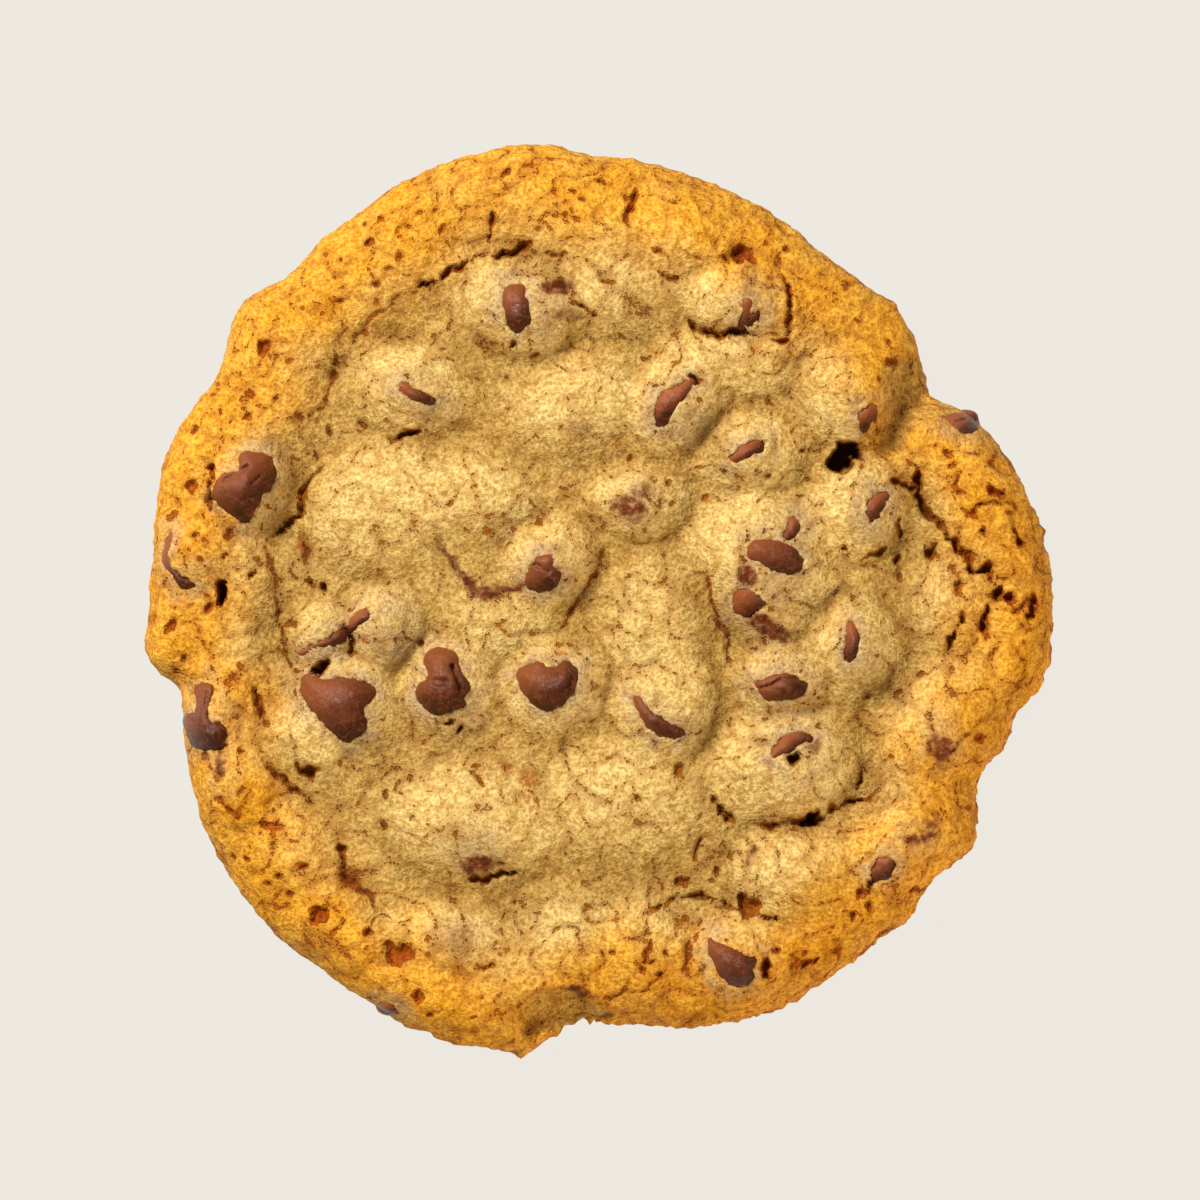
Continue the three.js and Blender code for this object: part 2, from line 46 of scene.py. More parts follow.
RIM_HEIGHT = 6.4
BELLY_HEIGHT = 1.7
SHOULDER_WIDTH = 4.0
FOOT_INSET = 1.1
CREST_INSET = 8.0
CREST_WIDTH = 7.0
CREST_RISE = 1.0
MOUND_STEEPNESS = 1.7
MOUND_MERGE = 2.4
MM_PER_METRE = 1000

# The rim seen from above: degrees from +x, and distance from the middle.
rim_turns = np.array([
    (0, 50.3), (9, 49.6), (17, 48.5), (23, 47.0), (28, 45.2), (31.5, 43.3), (35, 43.9), (39, 45.3),
    (44, 46.0), (54, 45.6), (66, 46.9), (78, 48.1), (91, 49.4), (97, 50.8), (103, 51.1), (116, 51.0),
    (126, 50.2), (134, 49.9), (140, 51.4), (145, 50.2), (150, 49.1), (160, 50.5), (170, 49.9), (180, 49.7),
    (186, 50.6), (189, 49.7), (192, 47.5), (200, 48.9), (211, 50.6), (222, 51.4), (238, 51.1), (246, 51.6),
    (255, 51.2), (260.5, 51.0), (263.5, 48.9), (270, 47.0), (275, 47.0), (281, 48.2), (294, 49.3),
    (304, 48.6), (314, 49.1), (320, 48.3), (327, 49.4), (330.5, 47.9), (335, 46.4), (340, 47.6),
    (345, 47.8), (349.5, 50.0),
])

# Where the crust stands up over a chip or a lump of dough: x, y, half length, half width, turn and height.
mounds = [
    (-20.6, 23.3, 8.4, 6.1, -8, 3.2), (-10.9, 33.6, 8.7, 5.5, -18, 2.5), (-7.2, 31.0, 6.9, 5.8, 0, 3.4),
    (-38.2, 12.3, 6.1, 5.5, 0, 2.8), (-45.0, 5.7, 5.0, 5.5, 0, 1.7), (-24.1, 10.4, 11.6, 8.4, 8, 2.4),
    (-13.3, 11.6, 8.2, 6.6, -15, 1.8), (-5.2, 4.1, 6.6, 5.8, 30, 3.4), (-2.3, 21.7, 10.0, 7.7, 20, 2.0),
    (8.5, 21.7, 7.9, 6.3, 40, 3.5), (16.8, 15.8, 6.9, 5.8, 0, 3.4), (15.7, 32.9, 7.4, 5.3, 0, 2.8),
    (27.6, 22.6, 7.1, 6.6, 0, 3.2), (28.5, 9.6, 7.4, 6.3, 20, 3.1), (18.1, 4.3, 10.3, 9.2, -60, 3.9),
    (4.3, 10.9, 6.6, 5.0, 0, 2.8), (38.1, -0.6, 6.1, 5.8, 0, 1.7), (-42.6, -12.6, 5.5, 6.6, 0, 2.1),
    (-30.7, -4.0, 4.8, 5.0, 0, 2.8), (-23.9, -3.1, 5.8, 5.8, 0, 3.4), (-27.9, -11.1, 7.4, 6.6, -30, 3.1),
    (-16.4, -9.5, 6.6, 6.6, 0, 3.4), (-4.7, -9.5, 7.4, 6.6, 0, 3.6), (-39.7, -19.6, 5.5, 6.1, -20, 1.8),
    (-32.2, -15.7, 5.8, 6.9, 0, 2.2), (-13.5, -24.7, 11.4, 7.7, -10, 3.5),
    (-16.2, -36.9, 8.7, 5.0, -5, 2.2), (2.5, -22.3, 10.6, 8.7, 0, 2.1), (7.6, -11.7, 7.7, 7.1, 0, 3.4),
    (19.9, -9.1, 6.9, 5.0, 0, 3.4), (28.5, -5.3, 6.3, 6.6, 0, 3.2), (20.1, -18.3, 10.3, 7.9, 0, 3.6),
    (37.1, -15.2, 6.6, 6.6, 0, 2.5), (33.8, -27.6, 7.4, 6.1, 35, 2.5), (21.0, -29.8, 7.7, 6.1, 0, 3.4),
    (15.3, -39.7, 7.1, 5.8, 0, 2.5), (4.5, -37.7, 6.1, 7.1, 0, 1.7), (-3.6, -36.1, 6.6, 6.9, 0, 1.5),
    (8.9, 40.9, 7.7, 5.5, -20, 1.5), (13.8, 26.1, 9.8, 4.8, 0, 2.0), (5.8, -2.9, 7.7, 8.7, 0, 1.5),
    (-10.9, -2.5, 7.1, 5.5, 0, 1.4), (-32.9, -27.8, 6.1, 5.3, -50, 1.4), (-29.4, -35.9, 6.9, 5.3, -40, 1.3),
    (-19.2, -42.5, 8.2, 4.8, -20, 1.0), (42.5, 14.0, 6.9, 7.4, 0, 1.3), (45.4, -4.5, 4.8, 6.6, 0, 1.1),
    (39.9, -10.0, 6.1, 4.5, 0, 1.4), (0.1, 32.9, 7.9, 5.8, 0, 1.1),
]

# Broad folds, between the rim and the middle and among the mounds: depth, half width and path.
folds = [
    (1.0, 6.5, [
        (-11.2, 38.8), (-15.1, 37.1), (-18.6, 34.0), (-22.3, 30.7), (-26.3, 28.8), (-28.9, 24.8),
        (-30.7, 20.8), (-32.3, 16.9), (-33.2, 12.0), (-33.8, 7.6),
    ]),
    (0.7, 4.7, [(-41.5, 8.7), (-41.5, 4.3), (-42.0, -1.2), (-42.6, -5.8), (-45.4, -9.1)]),
    (0.8, 5.0, [
        (-34.4, -0.1), (-34.9, -5.6), (-36.9, -10.0), (-36.4, -15.5), (-34.0, -20.1), (-31.1, -24.5),
        (-29.1, -28.9), (-26.9, -33.3), (-22.8, -37.0),
    ]),
    (0.5, 5.8, [(-19.7, -31.3), (-10.9, -32.6), (-4.3, -31.1), (2.3, -29.5), (11.1, -30.2)]),
    (0.7, 4.7, [
        (33.3, 10.9), (33.3, 4.3), (33.1, -2.3), (32.7, -7.5), (30.0, -12.2), (29.1, -17.7), (29.8, -22.5),
    ]),
    (0.7, 4.7, [(34.0, 15.9), (36.2, 10.9), (39.5, 5.7), (42.4, 0.8), (41.5, -5.6)]),
    (0.6, 5.0, [(0.3, 6.5), (-0.1, 1.0), (-1.9, -4.5)]),
    (0.7, 4.3, [(11.6, 1.0), (13.8, -4.0), (14.6, -8.9), (12.7, -15.5)]),
    (0.5, 5.0, [(-16.8, 18.0), (-8.7, 16.2), (0.1, 16.2), (10.2, 17.5)]),
    (0.5, 5.8, [(-14.2, 24.6), (-6.5, 26.8), (2.3, 27.9)]),
]

# Where a piece of the top has broken away: x, y, half length, half width, turn and depth.
scars = [
    (33.6, 21.2, 6.6, 3.5, 66, 2.2), (37.6, 21.6, 3.6, 2.4, -30, 1.3), (-4.8, -46.2, 6.0, 3.5, -6, 2.8),
]

# The step down from the crust into the duller crumb of those broken places: depth and outline.
broken_faces = [
    (0.4, [
        (31.8, 26.6), (33.8, 26.6), (35.6, 26.5), (36.6, 22.7), (37.7, 20.2), (34.4, 18.6), (33.8, 16.6),
        (32.4, 16.2), (29.7, 15.9), (28.6, 17.0), (28.9, 18.6), (30.2, 19.9), (30.5, 21.3), (31.8, 22.4),
        (30.7, 23.5), (31.1, 24.7),
    ]),
    (1.6, [
        (-7.1, -43.4), (-6.1, -43.0), (-4.0, -43.0), (-2.3, -43.2), (-1.5, -44.0), (-0.3, -45.0),
        (1.1, -45.6), (0.8, -46.4), (-2.6, -48.0), (-6.1, -48.0), (-7.5, -48.6), (-8.6, -47.2),
        (-8.1, -45.7), (-8.3, -44.6),
    ]),
]

# Open cracks between the mounds: depth, half width and path.
cracks = [
    (0.5, 0.24, [(-27.4, 28.0), (-25.0, 31.0), (-21.9, 33.6)]),
    (1.7, 0.45, [(-20.2, 33.9), (-18.6, 34.8), (-17.0, 35.8), (-15.4, 36.5), (-13.8, 37.5), (-12.0, 38.3)]),
    (1.9, 0.50, [(-11.7, 37.9), (-9.8, 38.1), (-8.6, 38.7), (-8.0, 39.0), (-7.3, 38.6)]),
    (0.9, 0.35, [(-5.9, 38.1), (-4.8, 38.0), (-3.6, 37.8)]),
    (1.2, 0.40, [(-11.7, 42.8), (-11.8, 41.1), (-11.9, 39.1)]),
    (0.8, 0.30, [(-7.0, 41.6), (-5.8, 42.1), (-4.5, 42.2), (-3.0, 42.0), (-1.5, 41.6)]),
    (0.7, 0.32, [(-28.9, 27.4), (-29.1, 25.9), (-29.3, 24.5), (-30.1, 22.4), (-31.2, 20.2)]),
    (2.2, 0.50, [
        (9.8, 31.0), (10.8, 29.9), (11.7, 29.3), (13.5, 29.4), (15.6, 29.5), (16.6, 29.3), (17.7, 28.8),
    ]),
    (1.6, 0.45, [
        (18.8, 28.4), (19.9, 28.4), (20.8, 28.8), (21.0, 30.5), (20.8, 32.9), (20.4, 34.7), (19.9, 36.0),
    ]),
    (1.3, 0.40, [(4.1, 45.4), (3.6, 43.6), (3.1, 41.9)]),
    (2.0, 0.50, [(-42.4, 15.0), (-42.6, 13.1), (-42.6, 11.5), (-42.5, 9.7)]),
    (1.4, 0.50, [
        (-30.4, 14.7), (-31.4, 13.8), (-31.9, 13.0), (-32.7, 12.0), (-32.9, 10.4), (-33.0, 9.2),
        (-34.1, 8.4), (-35.0, 7.6), (-36.0, 7.0),
    ]),
    (0.6, 0.30, [
        (-36.4, 7.0), (-36.6, 5.6), (-36.0, 3.8), (-35.5, 2.1), (-35.6, 0.2), (-35.2, -2.3), (-34.6, -4.7),
        (-34.5, -6.2), (-34.0, -7.1), (-33.2, -8.0),
    ]),
    (1.2, 0.34, [(-38.0, -9.5), (-37.4, -10.8), (-37.1, -12.6), (-36.4, -14.4)]),
    (1.2, 0.36, [
        (-37.2, -17.4), (-36.0, -18.8), (-34.8, -19.7), (-33.2, -21.0), (-32.2, -21.9), (-31.1, -22.7),
    ]),
    (1.2, 0.40, [(-41.5, -21.8), (-40.6, -22.9), (-39.6, -23.8)]),
    (1.1, 0.40, [(-37.1, -24.4), (-36.0, -24.6), (-34.8, -24.4)]),
    (1.2, 0.50, [
        (-28.9, -25.9), (-28.2, -27.6), (-27.7, -30.4), (-26.6, -31.5), (-25.4, -32.4), (-24.9, -33.9),
    ]),
    (0.5, 0.25, [
        (0.6, 5.9), (0.1, 4.8), (-0.3, 3.2), (-1.0, 1.7), (-2.0, 0.2), (-3.3, -1.8), (-4.7, -4.1),
    ]),
    (0.8, 0.30, [
        (11.7, 3.4), (12.1, 1.8), (12.4, 0.1), (13.1, -2.7), (13.8, -3.7), (14.2, -4.9), (14.6, -7.5),
    ]),
    (1.3, 0.35, [
        (4.3, -34.7), (5.9, -34.0), (7.6, -33.2), (9.2, -32.5), (10.9, -32.2), (12.4, -32.8), (14.0, -33.6),
        (15.5, -34.0),
    ]),
    (1.9, 0.45, [(12.4, -21.8), (13.2, -22.7), (14.1, -23.8), (15.0, -24.5)]),
    (1.5, 0.34, [
        (16.8, -24.6), (18.1, -24.9), (19.9, -24.7), (21.0, -24.4), (22.1, -24.3), (24.5, -24.0),
        (25.5, -23.0), (27.2, -22.6), (29.4, -21.9), (30.9, -21.0),
    ]),
    (1.2, 0.35, [(17.5, -34.6), (18.6, -34.8), (19.5, -35.0)]),
    (1.8, 0.50, [(32.2, 13.3), (33.1, 13.0), (34.0, 12.7), (34.8, 12.3)]),
    (2.2, 0.55, [
        (33.8, 15.3), (34.8, 14.6), (35.1, 13.4), (35.2, 11.8), (35.5, 10.6), (36.1, 9.6), (37.0, 8.9),
        (37.7, 8.3), (38.2, 7.4), (38.7, 6.5), (39.4, 6.0), (40.0, 5.3), (40.7, 4.8), (40.5, 3.9),
        (41.0, 3.2), (42.1, 3.1), (42.8, 3.4), (43.0, 2.4), (43.5, 1.3),
    ]),
    (1.9, 0.50, [(44.1, 0.4), (45.0, 0.2), (46.0, 0.1)]),
    (1.8, 0.55, [(48.2, 0.5), (47.7, -0.5), (47.1, -1.4), (47.4, -2.3)]),
    (1.7, 0.45, [(43.2, -0.1), (42.9, -1.2), (42.4, -2.3), (42.4, -3.6), (42.5, -4.7)]),
    (1.7, 0.45, [(40.1, -1.5), (39.6, -2.0), (39.3, -3.1), (38.7, -4.2), (38.7, -6.2)]),
    (1.3, 0.35, [(33.3, 9.0), (33.3, 7.9), (33.2, 6.8)]),
    (1.4, 0.35, [(32.9, 5.1), (33.0, 3.7), (33.1, 1.9)]),
    (1.2, 0.35, [(26.6, 5.9), (26.9, 5.2), (27.4, 4.6)]),
    (1.8, 0.50, [(-14.8, -30.4), (-13.8, -30.7), (-12.3, -30.6), (-10.6, -30.4), (-8.8, -29.5)]),
    (0.9, 0.40, [(-13.9, -40.6), (-12.7, -40.3), (-11.3, -40.0)]),
    (1.5, 0.35, [(-17.6, -13.5), (-16.6, -13.7), (-16.2, -13.1)]),
    (1.5, 0.30, [(-15.5, -13.5), (-15.4, -14.1), (-15.5, -14.8)]),
    (1.6, 0.50, [(-27.8, -2.5), (-27.7, -3.8), (-27.3, -4.9), (-27.1, -6.0)]),
    (1.3, 0.35, [(-3.5, 32.7), (-2.8, 32.6), (-1.8, 32.3), (-0.8, 31.5), (0.0, 31.1)]),
    (1.1, 0.35, [(6.2, 36.2), (7.2, 35.5), (8.0, 35.3), (8.9, 35.8)]),
    (1.2, 0.40, [(13.3, 37.8), (15.0, 37.3), (16.4, 37.6), (17.5, 37.1)]),
    (1.0, 0.35, [(-32.9, 6.4), (-32.2, 5.6), (-32.7, 4.3)]),
    (1.1, 0.35, [(36.4, -32.3), (35.1, -31.7), (34.0, -32.2)]),
    (1.0, 0.35, [(23.4, -39.9), (22.6, -40.3), (24.3, -39.4)]),
    (1.3, 0.40, [(-37.1, 4.9), (-37.8, 3.2), (-38.4, 2.4), (-37.6, 4.3)]),
    (0.9, 0.32, [(5.6, -37.5), (5.2, -38.8), (4.5, -39.9), (4.3, -41.0)]),
    (0.9, 0.32, [(9.6, -36.9), (9.8, -38.6), (10.0, -40.5)]),
    (1.2, 0.40, [(28.7, 4.3), (30.0, 4.8), (31.6, 5.7)]),
    (1.1, 0.40, [(29.4, -18.1), (28.9, -19.4), (28.5, -21.0)]),
    (0.7, 0.28, [(11.3, -26.0), (10.9, -27.6), (10.4, -28.9)]),
    (1.0, 0.35, [(-14.2, -18.8), (-13.5, -19.6), (-12.7, -20.3)]),
]

# Burst bubbles: x, y, half length, half width and turn.
pits = [
    (0.2, 46.0, 0.55, 0.49, 0), (-7.6, 47.8, 0.66, 0.44, 0), (-10.1, 47.2, 0.49, 0.44, 0),
    (-3.1, 44.9, 0.44, 0.39, 0), (-2.0, 44.1, 0.44, 0.39, 0), (-4.8, 45.0, 0.39, 0.39, 0),
    (-7.7, 39.2, 0.55, 0.55, 0), (3.1, 41.9, 0.44, 0.66, 0), (6.6, 38.1, 0.55, 0.44, 0),
    (10.6, 37.7, 0.66, 0.39, 0), (7.7, 35.4, 0.77, 0.33, 0), (27.1, 34.6, 0.49, 0.44, 0),
    (20.7, 38.6, 0.49, 0.49, 0), (20.0, 37.6, 0.44, 0.55, 0), (-23.9, 42.2, 0.49, 0.44, 0),
    (-25.6, 41.5, 0.49, 0.44, 0), (-20.9, 41.0, 0.49, 0.44, 0), (-17.4, 41.0, 0.49, 0.44, 0),
    (-19.6, 42.6, 0.44, 0.44, 0), (-25.2, 39.1, 0.55, 0.44, 0), (-21.9, 37.9, 0.55, 0.44, 0),
    (-28.7, 32.8, 0.55, 0.49, 0), (-24.4, 34.9, 0.55, 0.44, 0), (-36.6, 27.8, 1.10, 0.88, 20),
    (-34.0, 26.3, 0.55, 0.49, 0), (-38.3, 22.5, 0.55, 0.49, 0), (-44.7, 18.5, 0.55, 0.49, 0),
    (-38.7, 20.3, 0.55, 0.49, 0), (-35.5, 21.9, 0.49, 0.49, 0), (-26.2, 19.3, 0.49, 0.44, 0),
    (-29.8, 18.5, 0.49, 0.49, 0), (22.4, 16.3, 0.49, 0.44, 0), (-46.8, 9.3, 0.82, 0.49, 15),
    (-44.7, 12.6, 0.71, 0.77, 0), (-40.6, 7.4, 0.55, 0.55, 0), (-47.1, -2.8, 0.55, 0.88, -30),
    (-45.8, -6.5, 0.55, 0.66, 0), (-46.6, -7.8, 0.55, 0.66, 0), (-33.7, -2.6, 0.55, 0.39, 0),
    (-34.4, -6.0, 0.49, 0.49, 0), (-6.5, 8.7, 0.39, 0.33, 0), (3.3, 15.8, 0.44, 0.33, 0),
    (7.6, 12.9, 0.44, 0.39, 0), (8.1, 10.6, 0.39, 0.33, 0), (11.7, 11.2, 0.49, 0.33, 0),
    (-15.9, 10.9, 0.39, 0.33, 0), (18.5, 13.7, 0.49, 0.33, 0), (8.8, -18.6, 0.44, 0.94, 0),
    (4.2, -21.8, 0.44, 0.39, 0), (9.3, -31.0, 0.66, 0.49, 0), (3.3, -42.1, 0.33, 0.66, 0),
    (4.8, -40.5, 0.44, 0.66, 0), (1.5, -38.8, 0.44, 0.44, 0), (11.1, -35.5, 0.39, 0.44, 0),
    (-9.3, -33.1, 0.33, 0.66, 0), (25.6, -22.8, 0.55, 0.66, 0), (-23.4, -21.5, 0.55, 0.44, 0),
    (-23.8, -24.7, 0.55, 0.77, 0), (-39.0, -20.8, 0.49, 0.39, 0), (-36.5, -31.2, 0.55, 0.49, 0),
    (-35.3, -30.2, 0.55, 0.49, 0), (-32.5, -29.2, 0.66, 0.49, 0), (-34.1, -32.4, 0.55, 0.49, 0),
    (-19.9, -43.6, 0.66, 0.88, 0), (-18.7, -45.6, 0.44, 0.49, 0), (-25.4, -36.5, 0.49, 0.49, 0),
    (-40.6, -28.4, 0.49, 0.49, 0), (-38.8, -28.4, 0.49, 0.49, 0), (42.4, 7.4, 0.49, 0.49, 0),
    (39.8, 11.8, 0.55, 0.39, -20), (38.7, 15.0, 0.39, 0.33, 0), (45.1, 9.6, 0.39, 0.33, 0),
    (35.5, -8.0, 0.49, 0.44, 0), (38.6, -7.5, 0.49, 0.44, 0), (33.0, -10.3, 0.66, 0.33, 20),
    (41.8, -15.0, 0.49, 0.66, 0), (15.6, 38.3, 1.65, 0.77, 0), (32.2, 26.0, 0.88, 0.66, 0),
    (-40.9, -9.1, 0.39, 0.33, 0), (-39.2, -16.6, 0.49, 0.44, 0), (-39.2, -21.0, 0.49, 0.33, 0),
    (-43.3, -17.0, 0.49, 0.39, 0), (-41.5, -21.8, 0.49, 0.39, 0), (-39.5, -7.2, 0.49, 0.28, 0),
    (-31.1, 15.9, 0.33, 0.49, 0), (-32.2, 16.4, 0.39, 0.33, 0), (-38.1, 10.9, 0.33, 0.28, 0),
    (-19.7, -4.7, 0.44, 0.55, 0), (-19.5, -15.6, 0.39, 0.33, 0), (-20.7, -19.6, 0.39, 0.49, 0),
    (-13.3, -18.5, 0.33, 0.33, 0), (-6.8, 27.2, 0.39, 0.28, 0), (-10.3, 24.4, 0.39, 0.28, 0),
    (5.1, 26.6, 0.33, 0.33, 0), (-4.3, 19.0, 0.33, 0.33, 0), (12.4, -30.9, 0.44, 0.39, 0),
    (13.1, -29.8, 0.44, 0.49, 0), (14.2, -28.2, 0.55, 0.33, 0), (22.1, -39.9, 0.66, 0.33, 0),
    (22.8, -38.8, 0.44, 0.44, 0), (7.2, -38.6, 0.44, 0.44, 0), (5.6, -39.4, 0.55, 0.44, 0),
    (6.7, -41.2, 0.55, 0.49, 0), (28.9, -32.3, 0.66, 0.66, 0), (29.8, -33.6, 0.49, 0.66, 0),
    (27.6, -34.7, 0.49, 0.55, 0), (19.4, -38.6, 0.49, 0.44, 0), (39.3, 13.1, 0.39, 0.77, 15),
    (38.1, 16.2, 0.33, 0.55, 20), (40.6, 4.3, 0.49, 0.66, 0), (45.8, 3.0, 0.44, 0.44, 0),
    (45.4, -0.1, 0.49, 0.49, 0), (39.7, -1.4, 0.44, 0.55, 0), (48.0, 0.4, 0.49, 0.66, 20),
    (-43.0, -0.8, 0.55, 0.44, 0), (-46.5, -0.4, 0.39, 0.33, 0), (-44.1, 7.4, 0.44, 0.39, 0),
    (-45.4, 12.4, 0.44, 0.33, 0), (-43.6, 4.3, 0.44, 0.44, 0), (-41.1, 4.9, 0.55, 0.44, 20),
    (-37.1, 10.9, 0.39, 0.33, 0),
]

# Torn holes and broken bubbles that are large enough to show their shape: depth and outline.
holes = [
    (5.0, [
        (24.8, 15.3), (25.5, 15.9), (25.6, 16.8), (26.5, 17.2), (27.6, 17.3), (28.4, 17.4), (28.7, 16.4),
        (29.1, 15.1), (28.3, 14.9), (27.8, 15.3), (27.4, 14.5), (26.5, 14.1), (25.6, 14.4), (25.2, 14.9),
    ]),
    (3.6, [
        (-41.8, 2.1), (-41.2, 2.1), (-41.1, 1.5), (-40.7, 1.3), (-41.0, 0.4), (-41.2, -0.5), (-41.6, -1.0),
        (-41.9, -0.5), (-42.0, 0.5), (-42.1, 1.0),
    ]),
    (2.6, [
        (-32.5, 2.4), (-32.0, 2.6), (-31.6, 2.4), (-31.6, 1.8), (-30.9, 1.4), (-29.9, 1.6), (-29.7, 1.0),
        (-30.5, 0.9), (-31.2, 0.8), (-31.7, 1.3), (-31.9, 1.9),
    ]),
    (3.4, [
        (-29.8, -6.2), (-29.6, -6.9), (-30.0, -7.5), (-30.5, -8.5), (-31.2, -8.6), (-31.4, -7.9),
        (-30.9, -7.2), (-30.4, -6.4),
    ]),
    (2.6, [(9.8, 24.6), (10.6, 24.9), (11.1, 24.4), (11.1, 23.7), (10.3, 23.9)]),
    (3.2, [(20.8, -16.8), (21.8, -16.7), (21.8, -17.7), (21.1, -17.8)]),
    (3.6, [
        (21.9, -24.3), (22.7, -24.0), (23.0, -23.5), (23.8, -23.4), (24.3, -24.3), (23.6, -25.2),
        (23.0, -24.8), (22.2, -24.6),
    ]),
    (1.8, [
        (15.5, -32.3), (16.8, -32.6), (17.5, -33.5), (17.4, -34.3), (16.4, -34.9), (15.6, -34.4),
        (15.5, -33.3),
    ]),
    (1.9, [
        (-33.3, -18.0), (-32.6, -18.4), (-32.0, -18.2), (-30.9, -18.4), (-31.1, -19.2), (-31.8, -19.7),
        (-32.7, -19.5), (-33.2, -18.9),
    ]),
    (1.2, [
        (-23.0, -37.7), (-21.6, -37.9), (-20.4, -38.1), (-20.6, -39.4), (-21.7, -40.3), (-23.0, -39.9),
        (-23.4, -38.8),
    ]),
    (1.7, [(42.5, 12.4), (44.1, 12.5), (44.5, 11.7), (43.7, 11.1), (42.8, 11.6)]),
    (1.7, [(45.5, 8.0), (46.5, 7.4), (47.2, 6.4), (46.3, 5.7), (46.0, 6.8)]),
    (1.9, [(35.8, 5.4), (36.9, 6.2), (37.3, 5.7), (37.0, 4.8), (36.0, 4.9)]),
    (2.4, [(-42.5, -16.1), (-41.8, -15.8), (-41.1, -15.8), (-41.1, -16.6), (-42.0, -16.8)]),
    (2.6, [
        (-22.9, 17.8), (-21.9, 18.2), (-20.6, 18.6), (-19.6, 18.8), (-19.7, 18.2), (-21.0, 17.8),
        (-22.3, 17.3),
    ]),
    (2.6, [(42.9, 1.3), (44.1, 1.6), (44.8, 0.8), (44.5, 0.1), (43.5, -0.1), (43.0, 0.4)]),
    (2.4, [(30.0, -28.7), (30.7, -29.5), (30.5, -30.9), (29.9, -32.2), (29.7, -30.6), (29.8, -29.3)]),
    (2.2, [(17.7, -39.7), (18.6, -39.3), (19.0, -40.3), (18.4, -41.4), (17.7, -40.8)]),
    (2.2, [(-9.6, 28.5), (-9.0, 28.2), (-9.3, 27.8), (-10.1, 27.8)]),
    (2.0, [(-0.1, 35.3), (0.8, 34.9), (1.9, 35.0), (2.4, 34.5), (1.5, 34.6), (0.6, 34.6)]),
    (1.6, [(-31.6, -33.9), (-30.2, -33.7), (-29.6, -34.8), (-30.5, -35.8), (-31.7, -35.3)]),
]

